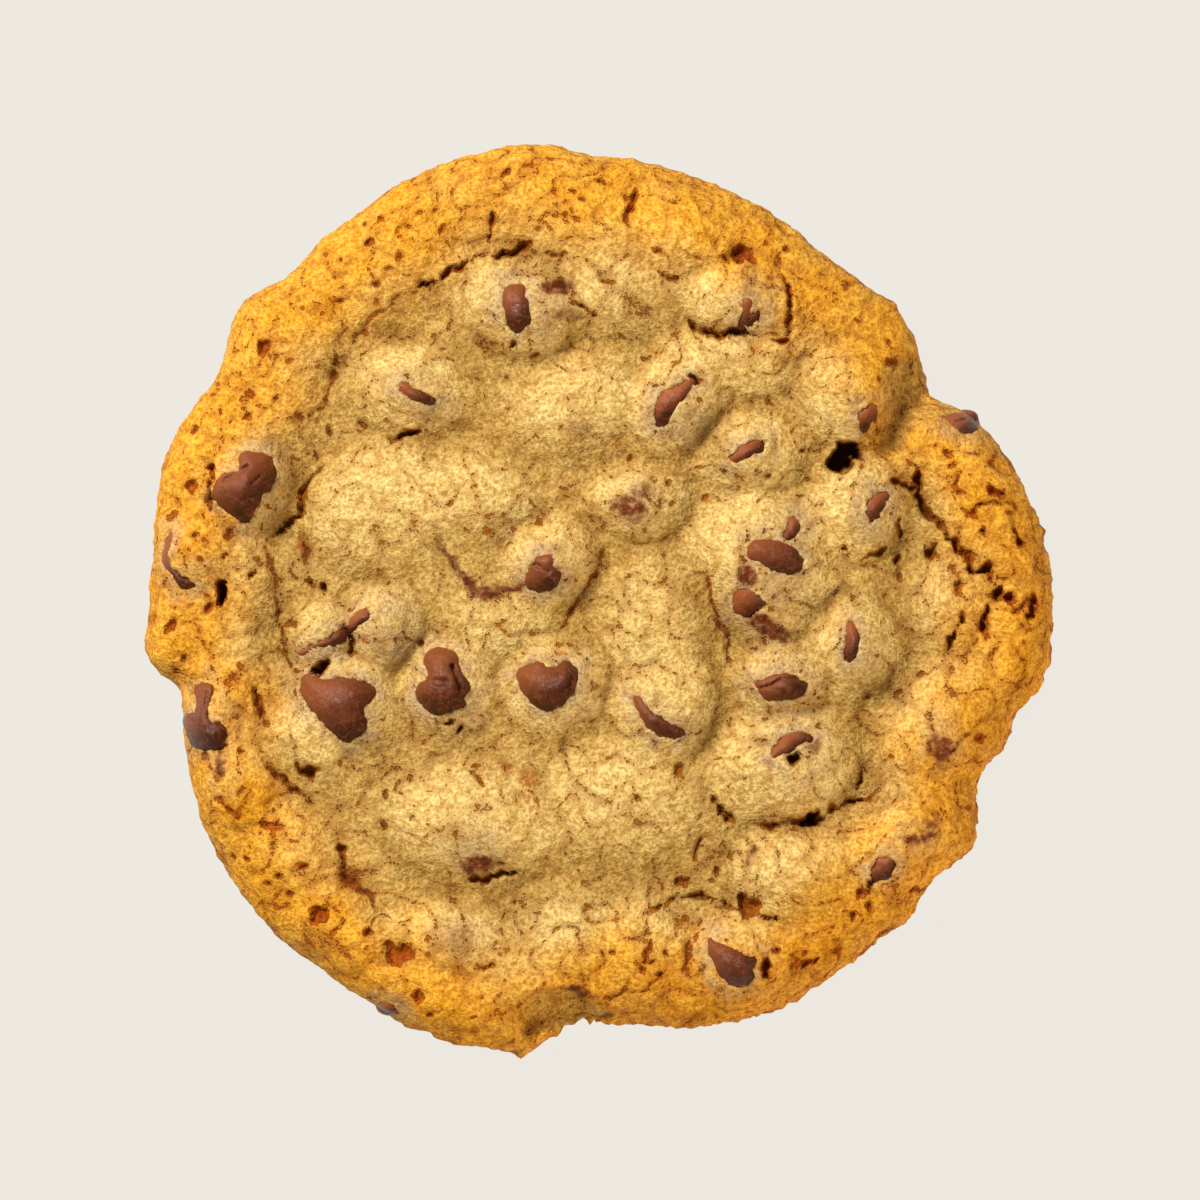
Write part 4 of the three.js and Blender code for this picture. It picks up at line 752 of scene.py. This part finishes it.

# At the feet of the mounds the crust is folded in: there the crust round a point stands above it. The same
# share also paints shade into the crust's colour there.
FOLD_REACH = 1.5
FOLD_DEPTH = 0.15
sides = ((1, 0), (-1, 0), (0, 1), (0, -1))
around = np.mean([crust_relief(x + FOLD_REACH * dx, y + FOLD_REACH * dy) for dx, dy in sides], 0)
folded = smooth_step(0.02, 0.26, around - crust_relief(x, y) + 0.05 * noise(flat_place, 2.6, 29))
folded *= smooth_step(0.5, 3.0, inset)
folded *= np.clip(0.6 + 1.1 * noise(flat_place, 3.0, 30), 0, 1)
roughness -= FOLD_DEPTH * folded

# How far inside a crack, burst bubble or hole each point lies in millimetres, and how deep the cut is there.
# The mesh takes a share of the listed depths: its walls slope, so a full cut would look wider than it is.
OUTSIDE = -1.0
CRACK_SHARE = 0.8
HOLE_SHARE = 0.75
opening = np.full(len(x), OUTSIDE)
cut = np.zeros(len(x))


def open_up(points, inside, depth, soft=0.35):
    """Cuts into the crust to a depth at the points that lie inside an opening."""
    opening[points] = np.maximum(opening[points], inside)
    cut[points] = np.maximum(cut[points], depth * smooth_step(-0.10, soft, inside))


everywhere = np.flatnonzero(~on_base)
raggedness = 0.32 * noise(solid_place[everywhere], 0.9, 33)
uneven = 0.6 * noise(solid_place[everywhere], 1.2, 31) + 0.5 * noise(solid_place[everywhere], 0.6, 34)
for depth, half_width, path in cracks:
    distance, along = path_distance(near_x[everywhere], near_y[everywhere], path)
    ends = smooth_step(0, 0.15, along) * smooth_step(0, 0.15, 1 - along)
    width = half_width * (0.3 + 0.7 * ends) * (0.72 + uneven)
    open_up(everywhere, width - distance, CRACK_SHARE * depth * (0.4 + 0.6 * ends))
for pit_x, pit_y, half_length, half_width, turn in pits:
    share = oval_share(near_x[everywhere], near_y[everywhere], pit_x, pit_y, half_length, half_width, turn)
    smaller = min(half_length, half_width)
    open_up(everywhere, (0.85 - share) * smaller + 0.3 * raggedness, 0.3 + 0.8 * smaller)
for depth, corners in holes:
    distance = inside_distance(near_x[everywhere], near_y[everywhere], smooth_outline(corners))
    open_up(everywhere, distance + raggedness, HOLE_SHARE * depth, 0.5)
broken = np.zeros(len(x))
for depth, corners in broken_faces:
    distance = inside_distance(near_x[everywhere], near_y[everywhere], smooth_outline(corners))
    face = smooth_step(-0.15, 0.25, distance + raggedness)
    broken[everywhere] = np.maximum(broken[everywhere], face)
    cut[everywhere] = np.maximum(cut[everywhere], depth * face)
gap_width = 0.30 * craggy * smooth_step(0.0, 0.6, noise(solid_place, 3.2, 32))
open_up(everywhere, (gap_width - 0.45 * CLOD_WIDTH * clod_edge)[everywhere], 1.0)

# Small burst bubbles all over, most of them at the rim. Their places are drawn by a seeded rule.
BUBBLE_TRIES = 620
BUBBLE_ROOM = 1.5
random = np.random.default_rng(41)
for _ in range(BUBBLE_TRIES):
    turn, share = random.uniform(0, 2 * np.pi), np.sqrt(random.uniform(0.02, 0.93))
    reach = share * rim_distance(np.array([turn]))[0]
    radius = random.uniform(0.14, 0.30)
    stretch = random.uniform(0.6, 1.7)
    middle_x, middle_y = reach * np.cos(turn), reach * np.sin(turn)
    oval = (middle_x, middle_y, radius * stretch, radius / stretch, random.uniform(0, 180))
    if random.uniform() > 0.08 + 0.45 * share**4:
        continue
    near_bubble = (np.abs(x - middle_x) < BUBBLE_ROOM) & (np.abs(y - middle_y) < BUBBLE_ROOM)
    close = np.flatnonzero(near_bubble & ~on_base)
    open_up(close, (1 - oval_share(near_x[close], near_y[close], *oval)) * radius, 1.6 * radius)

# Over each chip that shows, the skin of dough has drawn back. Round the gap the skin is thin and greyed.
GAP_REACH = 9.0
WINDOW_DEPTH = 0.95
gap = np.full(len(x), -GAP_REACH)
for corners in chip_outlines.values():
    outline = smooth_outline(corners)
    low, high = outline.min(0) - GAP_REACH, outline.max(0) + GAP_REACH
    close = np.flatnonzero((x > low[0]) & (x < high[0]) & (y > low[1]) & (y < high[1]) & ~on_base)
    warp = 0.35 * nudge[close]
    warp += 0.36 * np.stack([noise(flat_place[close], 0.8, 16), noise(flat_place[close], 0.8, 17)], 1)
    distance = inside_distance(x[close] + warp[:, 0], y[close] + warp[:, 1], outline)
    gap[close] = np.maximum(gap[close], distance)
window = smooth_step(-0.12, 0.22, gap)
calm = smooth_step(-1.3, -0.2, gap)
roughness = roughness * (1 - 0.45 * calm)
cut = np.where(window > 0, np.maximum(cut * (1 - window), WINDOW_DEPTH * window), cut)

# Cuts go straight down from the top, and less deep inward from the side. The crust ends above the table,
# where the foot turns under.
SIDE_SHARE = 0.6
LOWEST_CRUST = 0.05
FOOT_LIFT = 0.2
place = solid_place + outward * (roughness * ~on_base)[:, None]
place[:, 2] -= cut * shoulder
place[:, :2] -= outward[:, :2] * (SIDE_SHARE * cut * (1 - shoulder))[:, None]
lowest = LOWEST_CRUST + FOOT_LIFT * (1 - foot_share)
place[:, 2] = np.where(on_base, place[:, 2], np.maximum(place[:, 2], lowest))

# The underside lay on a tray: flat, with small pores that open upward into it.
pores = grains(solid_place, 1.6, 51)
pore = smooth_step(0.45, 0.8, noise(solid_place, 1.9, 52))
pore_depth = 0.25 * pore + 0.06 * (1 - smooth_step(0, 0.4, pores))
place[:, 2] = np.where(on_base & (inset > 2.0), pore_depth, place[:, 2])
place[on_foot & (foot_share > 0.99), 2] = 0.0

# Colour of the bake, as shares from 0 to 1 that the crust's material turns into colours.
# The rim took the most heat, and its steep side and underside browned deepest; towards the lower right, away
# from the lamp, that deeper browning is made stronger as painted shade. Chips under a thin skin grey it in a
# halo round each gap, and melted ones stain it; right at each gap the stain also paints a dark shadow line.
# Openings let the material darken the torn crumb, and their depths give the deepest cuts a painted shade.
browning = rim_share * 0.9 + 0.12 * noise(flat_place, 6.0, 61) + 0.08 * noise(flat_place, 2.2, 62)
# Painted shade: towards the lower right, away from the lamp, this browning is made stronger.
deep = smooth_step(0.5, 1.0, 1 - shoulder) * np.clip(0.55 + 0.45 * lower_side, 0, 1)
deep = np.maximum(deep, 0.34 * smooth_step(9, 1, inset) * np.clip(lower_side, 0, 1))
deep = np.where(on_base, 0.55 + 0.3 * noise(flat_place, 8.0, 63), deep)
# Painted shade: the crumb is darkened where its noise dips, in its creases.
crease = smooth_step(-0.02, -0.20, crumb) * (0.6 + 0.4 * rim_share)
# Painted shade: low hollows of the crust and the listed valleys are darkened.
hollow = smooth_step(1.5, -0.5, crust_relief(x, y)) * (1 - 0.6 * rim_share)
hollow = np.maximum(hollow, strongest(deep_hollows, 0.3, 1.5))
patchy = np.clip(0.75 + 0.9 * noise(flat_place, 1.6, 66), 0, 1)
halo = smooth_step(-2.6, -0.4, gap + 1.1 * noise(flat_place, 3.4, 68))
greying = np.maximum(halo, strongest(thin_spots, 0.35, 1.25)) * patchy * (1 - 0.35 * rim_share)
run = np.clip(0.75 + 0.7 * noise(flat_place, 0.8, 67), 0, 1)
# Painted shadow: the stain is strongest right at each gap, as a dark line along the chip's edge; the smears
# are real chocolate.
stain = 0.85 * smooth_step(-0.30, 0.0, gap) * smooth_step(-0.25, 0.5, noise(flat_place, 0.9, 65) + gap)
stain = np.maximum(stain, 1.6 * strongest(chocolate_smears, 0.9, 1.6) * run)
caramel = strongest(sugar_spots, 0.4, 1.25) * run
OPENING_REACH = 0.6
DEEPEST_CUT = 3.0
opening = np.where(calm > 0.9, OUTSIDE, opening)


def linear(hex_colour):
    """An sRGB hex colour as the linear RGBA values that Blender's sockets take."""
    values = np.array([int(hex_colour[i:i + 2], 16) for i in (1, 3, 5)]) / 255
    values = np.where(values <= 0.04045, values / 12.92, ((values + 0.055) / 1.055) ** 2.4)
    return (*values, 1.0)


def add_node(material, kind, output, inputs, **settings):
    """Adds a node to a material and gives one of its outputs. Inputs are values or other nodes' outputs."""
    node = material.node_tree.nodes.new(kind)
    for name, value in settings.items():
        setattr(node, name, value)
    for name, value in inputs.items():
        if isinstance(value, bpy.types.NodeSocket):
            material.node_tree.links.new(value, node.inputs[name])
        else:
            node.inputs[name].default_value = value
    return node.outputs[output] if node.outputs else None


def new_material(name):
    """A material without any nodes yet."""
    material = bpy.data.materials.new(name)
    material.use_nodes = True
    material.node_tree.nodes.clear()
    return material


def stored(material, name):
    """A number that the mesh stores for each vertex."""
    return add_node(material, "ShaderNodeAttribute", "Fac", {}, attribute_name=name)


def pattern_of(material, width_mm, detail, roughness, twist=0.0):
    """A cloudy pattern whose clouds have a real width."""
    here = add_node(material, "ShaderNodeTexCoord", "Object", {})
    return add_node(material, "ShaderNodeTexNoise", "Fac", {
        "Vector": here, "Scale": MM_PER_METRE / width_mm, "Detail": detail, "Roughness": roughness,
        "Distortion": twist,
    })


def share_of(material, pattern, low, high, most, least=0.0):
    """A pattern as a share: the least at its low value and the most at its high one."""
    return add_node(material, "ShaderNodeMapRange", "Result", {
        "Value": pattern, "From Min": low, "From Max": high, "To Min": least, "To Max": most,
    })


def layered(material, base, layers):
    """A colour with others laid over it: how much of each shows, the colour, and how it is laid on."""
    colour = linear(base)
    for how_much, tint, mode in layers:
        colour = add_node(material, "ShaderNodeMix", 2, {0: how_much, 6: colour, 7: linear(tint)},
                          data_type="RGBA", blend_type=mode)
    return colour


def mesh_object(name, vertices_mm, faces, material):
    """A smooth-shaded object from places in millimetres."""
    mesh = bpy.data.meshes.new(name)
    mesh.vertices.add(len(vertices_mm))
    mesh.vertices.foreach_set("co", (np.asarray(vertices_mm) / MM_PER_METRE).ravel())
    mesh.loops.add(3 * len(faces))
    mesh.loops.foreach_set("vertex_index", np.asarray(faces, np.int32).ravel())
    mesh.polygons.add(len(faces))
    mesh.polygons.foreach_set("loop_start", np.arange(0, 3 * len(faces), 3, dtype=np.int32))
    mesh.update(calc_edges=True)
    mesh.validate()
    mesh.shade_smooth()
    mesh.materials.append(material)
    made = bpy.data.objects.new(name, mesh)
    bpy.context.collection.objects.link(made)
    return made


def add_shares(made, **shares):
    """Stores a number for each vertex under a name that a material can read."""
    for name, values in shares.items():
        layer = made.data.attributes.new(name, "FLOAT", "POINT")
        layer.data.foreach_set("value", np.clip(values, 0, 1).astype(np.float32))


# Baked cookie crust: dry browned flour and sugar. It looks matt and sandy, straw-yellow where it is thick and
# golden at the rim, with soft olive painted shade in its hollows, and with orange-brown, moister crumb down
# in the cracks, painted near-black as shade where they are deepest.
crust = new_material("baked_dough_crust")
share = {
    name: stored(crust, name)
    for name in ("browning", "deep", "crease", "hollow", "greying", "stain", "caramel", "broken", "opening",
                 "depth", "folded")
}

# Clouds of a slightly different bake, sand and single grains, at their widths in millimetres.
cloud, sand, grain = (pattern_of(crust, width_mm, 2.0, 0.7) for width_mm in (2.2, 0.80, 0.40))

# The openings in millimetres, with edges that the sand and the grains fray: above 0 inside.
FRAYED = 0.66
inside = -OPENING_REACH - FRAYED
for pattern, reach in ((share["opening"], 2 * OPENING_REACH), (sand, 0.85), (grain, 0.45)):
    inside = add_node(crust, "ShaderNodeMath", 0, {0: pattern, 1: reach, 2: inside}, operation="MULTIPLY_ADD")

# Patterns as shares: none at the first value, and the last number at the second value.
ranges = {
    "patches": (cloud, 0.40, 0.66, 0.35),
    "shaded grains": (sand, 0.62, 0.34, 0.62),
    "fine shade": (grain, 0.62, 0.36, 0.42),
    "sunlit grains": (grain, 0.50, 0.70, 0.06),
    # Painted shade in the crumb's creases.
    "creases": (share["crease"], 0.0, 1.0, 0.5),
    # Painted shade at the feet of the mounds.
    "folds": (share["folded"], 0.0, 1.0, 0.35),
    # Painted shade in the hollows.
    "hollows": (share["hollow"], 0.0, 1.0, 0.65),
    "torn edge": (inside, -0.28, 0.02, 0.45),
    "torn": (inside, -0.03, 0.08, 1.0),
    "depth": (share["depth"], 0.38, 0.85, 1.0),
    "dots": (sand, 0.56, 0.64, 0.85),
}
part = {name: share_of(crust, *limits) for name, limits in ranges.items()}
dots = add_node(crust, "ShaderNodeMath", 0, {0: part["dots"], 1: share["greying"]}, operation="MULTIPLY")
# Painted shade: the deepest cuts darken towards near black.
deepest = add_node(crust, "ShaderNodeMath", 0, {0: part["depth"], 1: part["torn"]}, operation="MULTIPLY")
colour = layered(crust, "#f0d98f", [
    (share["browning"], "#fcbe28", "MIX"),
    (share["deep"], "#dc8a14", "MIX"),
    (share["greying"], "#d4be92", "MIX"),
    (dots, "#8c6446", "MIX"),
    (share["caramel"], "#c8701e", "MIX"),
    (share["stain"], "#803e1a", "MIX"),
    (part["hollows"], "#bea65c", "MULTIPLY"),
    (part["folds"], "#b89c58", "MULTIPLY"),
    (share["broken"], "#d9ad50", "MIX"),
    (part["patches"], "#e6cf95", "MULTIPLY"),
    (part["shaded grains"], "#ba945a", "MULTIPLY"),
    (part["fine shade"], "#b58c50", "MULTIPLY"),
    (part["sunlit grains"], "#fff0c4", "MIX"),
    (part["creases"], "#bf9a5c", "MULTIPLY"),
    (part["torn edge"], "#bf8a48", "MULTIPLY"),
    (part["torn"], "#cc9620", "MULTIPLY"),
    (deepest, "#3c2008", "MIX"),
])

# Fine relief in millimetres, too fine for the mesh: sand, grains and the torn edges.
relief = 0.0
for pattern, rise_mm in ((sand, 0.24), (grain, 0.10), (part["torn"], -0.30)):
    relief = add_node(crust, "ShaderNodeMath", 0, {0: pattern, 1: rise_mm, 2: relief},
                      operation="MULTIPLY_ADD")
slopes = add_node(crust, "ShaderNodeBump", "Normal", {"Height": relief, "Strength": 1.0, "Distance": 0.001})
surface = add_node(crust, "ShaderNodeBsdfPrincipled", "BSDF", {
    "Base Color": colour, "Roughness": 0.7, "IOR": 1.45, "Specular IOR Level": 0.2, "Normal": slopes,
})
add_node(crust, "ShaderNodeOutputMaterial", 0, {"Surface": surface})

dough = mesh_object("dough_crust", place, faces, crust)
add_shares(dough, browning=browning, deep=deep, crease=crease, hollow=hollow, greying=greying, stain=stain,
           caramel=caramel, broken=broken, folded=folded, opening=0.5 + opening / (2 * OPENING_REACH),
           depth=cut / DEEPEST_CUT)
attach(dough, "root")
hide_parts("dough")

# The chips that show: drops of milk chocolate that softened in the oven and set again where they lay.
# Each one is a closed lump held in the dough, and the skin of dough round its gap covers its edge.
# The spacing is that of its mesh, the margin is how far it reaches under the skin, and the sink how deep its
# edge lies. None comes out under the cookie.
CHIP_SPACING = 0.22
CHIP_MARGIN = 0.45
CHIP_SINK = 0.9
CHIP_DEPTH = 1.6
LOWEST_CHIP = 0.5
ROW_STEP = 0.866

# Chips that stand proud: how far the middle rises over the crust, how steeply the face climbs towards the
# lower right, and how wide the rounded edge is. The others show as narrow ridges that start below the crust.
SUNKEN_FORM = (-0.30, 0.04, 0.8)
SUNKEN_RIDGE = 0.60
chip_forms = {
    "chip_01": (0.50, 0.06, 1.8), "chip_08": (1.00, 0.06, 2.8), "chip_12": (1.00, 0.10, 3.2),
    "chip_13": (1.10, 0.06, 2.8), "chip_14": (0.80, 0.06, 2.2), "chip_15": (0.60, 0.08, 2.0),
    "chip_16": (0.90, 0.10, 3.2), "chip_17": (0.40, 0.08, 1.4), "chip_18": (0.80, 0.06, 2.0),
    "chip_23": (0.50, 0.08, 1.8), "chip_26": (0.70, 0.08, 2.4),
}

# Splits in the chocolate: depth, half width and path.
chip_cracks = {
    "chip_07": [(0.5, 0.16, [(39.4, 19.7), (40.4, 19.9)])],
    "chip_08": [
        (0.8, 0.30, [(-41.0, 13.1), (-39.5, 13.9), (-38.5, 14.6)]),
        (0.4, 0.20, [(-38.1, 12.7), (-37.1, 13.6)]),
        (0.35, 0.20, [(-37.1, 11.1), (-38.2, 11.4), (-39.1, 10.9)]),
    ],
    "chip_13": [
        (1.3, 0.32, [(-16.1, -7.2), (-15.6, -8.3), (-15.2, -9.7)]),
        (0.5, 0.50, [(-17.9, -8.9), (-16.8, -9.0)]),
    ],
    "chip_14": [(0.4, 0.15, [(-45.3, -12.8), (-44.3, -13.4)]), (0.5, 0.20, [(-43.0, -10.2), (-43.2, -11.7)])],
    "chip_15": [(0.8, 0.25, [(-7.3, 4.0), (-6.5, 3.7)]), (0.5, 0.15, [(-6.7, 3.5), (-5.4, 3.1)])],
    "chip_23": [(0.6, 0.18, [(17.4, -9.7), (18.8, -9.3), (19.9, -8.6), (21.5, -8.5)])],
}

# Milk chocolate, melted and set: a deep brown with a soft gloss, duller and redder where fat has bloomed or
# where it was scuffed. Its side towards the window lamp is painted paler, as painted light.
chocolate = new_material("milk_chocolate")
bloom = pattern_of(chocolate, 2.4, 4.0, 0.65, twist=0.5)
scuffs = pattern_of(chocolate, 0.6, 4.0, 0.65, twist=1.0)
dullness = share_of(chocolate, bloom, 0.3, 0.7, 0.48, least=0.32)
colour = layered(chocolate, "#2c1005", [
    (share_of(chocolate, bloom, 0.35, 0.65, 1.0), "#542410", "MIX"),
    # Painted light: the stored share makes the side towards the lamp paler.
    (stored(chocolate, "pale"), "#9c562e", "MIX"),
    (share_of(chocolate, scuffs, 0.50, 0.68, 0.6), "#8c4e30", "MIX"),
])
slopes = add_node(chocolate, "ShaderNodeBump", "Normal", {
    "Height": scuffs, "Strength": 0.8, "Distance": 0.0002,
})
surface = add_node(chocolate, "ShaderNodeBsdfPrincipled", "BSDF", {
    "Base Color": colour, "Roughness": dullness, "IOR": 1.46, "Specular IOR Level": 0.32,
    "Normal": slopes,
})
add_node(chocolate, "ShaderNodeOutputMaterial", 0, {"Surface": surface})


def chip_net(outline):
    """Points and triangles that fill a chip's outline, grown by its margin."""
    heading = np.roll(outline, -1, 0) - np.roll(outline, 1, 0)
    heading /= np.linalg.norm(heading, axis=1, keepdims=True)
    aside = np.stack([heading[:, 1], -heading[:, 0]], 1)
    if inside_distance(*(outline + 0.05 * aside).T, outline).mean() > 0:
        aside = -aside
    grown = outline + CHIP_MARGIN * aside
    low, high = grown.min(0), grown.max(0)
    columns = np.arange(low[0], high[0], CHIP_SPACING)
    rows = np.arange(low[1], high[1], CHIP_SPACING * ROW_STEP)
    grid_x, grid_y = np.meshgrid(columns, rows)
    grid_x[1::2] += CHIP_SPACING / 2
    grid_x, grid_y = grid_x.ravel(), grid_y.ravel()
    keep = inside_distance(grid_x, grid_y, outline) > -CHIP_MARGIN + 0.5 * CHIP_SPACING
    inner = np.stack([grid_x[keep], grid_y[keep]], 1)
    edges = [(a, (a + 1) % len(grown)) for a in range(len(grown))]
    points, _, triangles, *_ = delaunay_2d_cdt(
        [tuple(p) for p in np.vstack([grown, inner])], edges, [], 1, 1e-5)
    points = np.array([(p.x, p.y) for p in points])
    triangles = np.array([t for t in triangles if len(t) == 3])
    first, second, third = (points[triangles[:, corner]] for corner in range(3))
    area = np.linalg.det(np.stack([second - first, third - first], 1))
    return points, np.where(area[:, None] > 0, triangles, triangles[:, ::-1])


# Each top rises from the sunken edge to a rounded face with folds and splits. Each underside bulges down from
# the same edge.
for number, (name, corners) in enumerate(chip_outlines.items()):
    outline = smooth_outline(corners)
    points, triangles = chip_net(outline)
    depth_in = inside_distance(points[:, 0], points[:, 1], outline) + CHIP_MARGIN
    border = depth_in < 0.25 * CHIP_SPACING
    centre = outline.mean(0)
    rise, climb, edge_width = chip_forms.get(name, SUNKEN_FORM)
    ridge = 0.0 if name in chip_forms else SUNKEN_RIDGE
    away = (points - centre) @ LOWER_RIGHT
    reach = np.abs((outline - centre) @ LOWER_RIGHT).max()
    width = edge_width * (0.9 + 0.35 * np.clip(away / reach, -1, 1))
    rounded = np.sqrt(1 - (1 - np.clip(depth_in / width, 0, 1)) ** 2)
    rounded[border] = 0
    crust_z = crust_height(points[:, 0], points[:, 1])
    level = np.stack([points[:, 0], points[:, 1], np.full(len(points), 7.0 * number)], 1)
    wrinkles = 0.22 * noise(level, 2.2, 71) + 0.04 * noise(level, 0.8, 72)
    folds_in = 1 - smooth_step(0.0, 0.18, np.abs(noise(level, 1.7, 73)))
    top = crust_z - CHIP_SINK + (CHIP_SINK + rise + wrinkles - 0.10 * folds_in + climb * away) * rounded
    top += ridge * depth_in / depth_in.max()
    for depth, half_width, path in chip_cracks.get(name, []):
        distance = path_distance(points[:, 0], points[:, 1], path)[0]
        top -= depth * (1 - smooth_step(0.3, 1.2, distance / half_width)) * rounded
    bottom = np.maximum(crust_z - CHIP_SINK - CHIP_DEPTH * rounded, LOWEST_CHIP)
    under = np.arange(len(points)) + len(points)
    under[border] = np.flatnonzero(border)
    vertices = np.vstack([np.column_stack([points, top]), np.column_stack([points, bottom])])
    all_faces = np.vstack([triangles, under[triangles][:, ::-1]])
    kept, all_faces = np.unique(all_faces, return_inverse=True)
    chip = mesh_object(name + "_chocolate", vertices[kept], all_faces.reshape(-1, 3), chocolate)
    # Painted light: paler on the side towards the lamp, away from the lower right.
    dried = (0.6 if name in chip_forms else 0.9) * smooth_step(0.6, -0.8, away / reach)
    add_shares(chip, pale=np.concatenate([dried, dried])[kept])
    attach(chip, "root")
    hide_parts(name)

# A plain pale table top. It glows a little, so that shadows on it stay as faint as in a bright studio.
paper = new_material("pale_paper")
glow = add_node(paper, "ShaderNodeEmission", 0, {"Color": linear("#ede9e0"), "Strength": 0.985})
matt = add_node(paper, "ShaderNodeBsdfDiffuse", 0, {"Color": linear("#1c1a18")})
both = add_node(paper, "ShaderNodeAddShader", 0, {0: glow, 1: matt})
add_node(paper, "ShaderNodeOutputMaterial", 0, {"Surface": both})
TABLE_HALF = 1500
table_corners = TABLE_HALF * np.array([(-1, -1, 0), (1, -1, 0), (1, 1, 0), (-1, 1, 0)])
table = mesh_object("table_top", table_corners, [(0, 1, 2), (0, 2, 3)], paper)


def add_lamp(name, shape, size, tint, watts, place, mirrored):
    """An area lamp that faces the middle of the cookie. Its size is in metres: a width and a height."""
    data = bpy.data.lights.new(name, "AREA")
    data.shape = shape
    data.size, data.size_y = size
    data.energy = watts
    data.color = linear(tint)[:3]
    lamp = bpy.data.objects.new(name, data)
    lamp.location = place
    lamp.rotation_euler = lamp.location.to_track_quat("Z", "Y").to_euler()
    lamp.visible_glossy = mirrored
    bpy.context.collection.objects.link(lamp)


# A large soft lamp stands to the upper left. A pale card on the other side, low down, throws some of its
# light back on the steep lower right of the rim, and isn't mirrored in the chocolate.
add_lamp("window_lamp", "DISK", (0.22, 0.22), "#fff6ea", 7.8, (-0.36, 0.40, 0.52), True)
add_lamp("pale_card", "RECTANGLE", (0.5, 0.2), "#ffe9c8", 2.6, (0.42, -0.40, 0.14), False)

# An even pale room all round.
room = bpy.data.worlds.new("pale_room")
room.use_nodes = True
walls = room.node_tree.nodes["Background"]
walls.inputs["Color"].default_value = linear("#fff2de")
walls.inputs["Strength"].default_value = 0.32
bpy.context.scene.world = room
bpy.context.scene.view_settings.view_transform = "Standard"

# The camera looks straight down, a touch right of the middle. The picture is 132 mm wide at the height of the
# crust. These sizes are in metres.
CAMERA_HEIGHT = 0.6
CAMERA_SHIFT = 0.0001
PICTURE_WIDTH = 0.132
camera_data = bpy.data.cameras.new("camera")
camera_data.sensor_width = 36.0
camera_data.lens = camera_data.sensor_width * (CAMERA_HEIGHT - RIM_HEIGHT / MM_PER_METRE) / PICTURE_WIDTH
camera = bpy.data.objects.new("camera", camera_data)
camera.location = (CAMERA_SHIFT, 0.0, CAMERA_HEIGHT)
bpy.context.collection.objects.link(camera)
bpy.context.scene.camera = camera

bpy.context.view_layer.update()
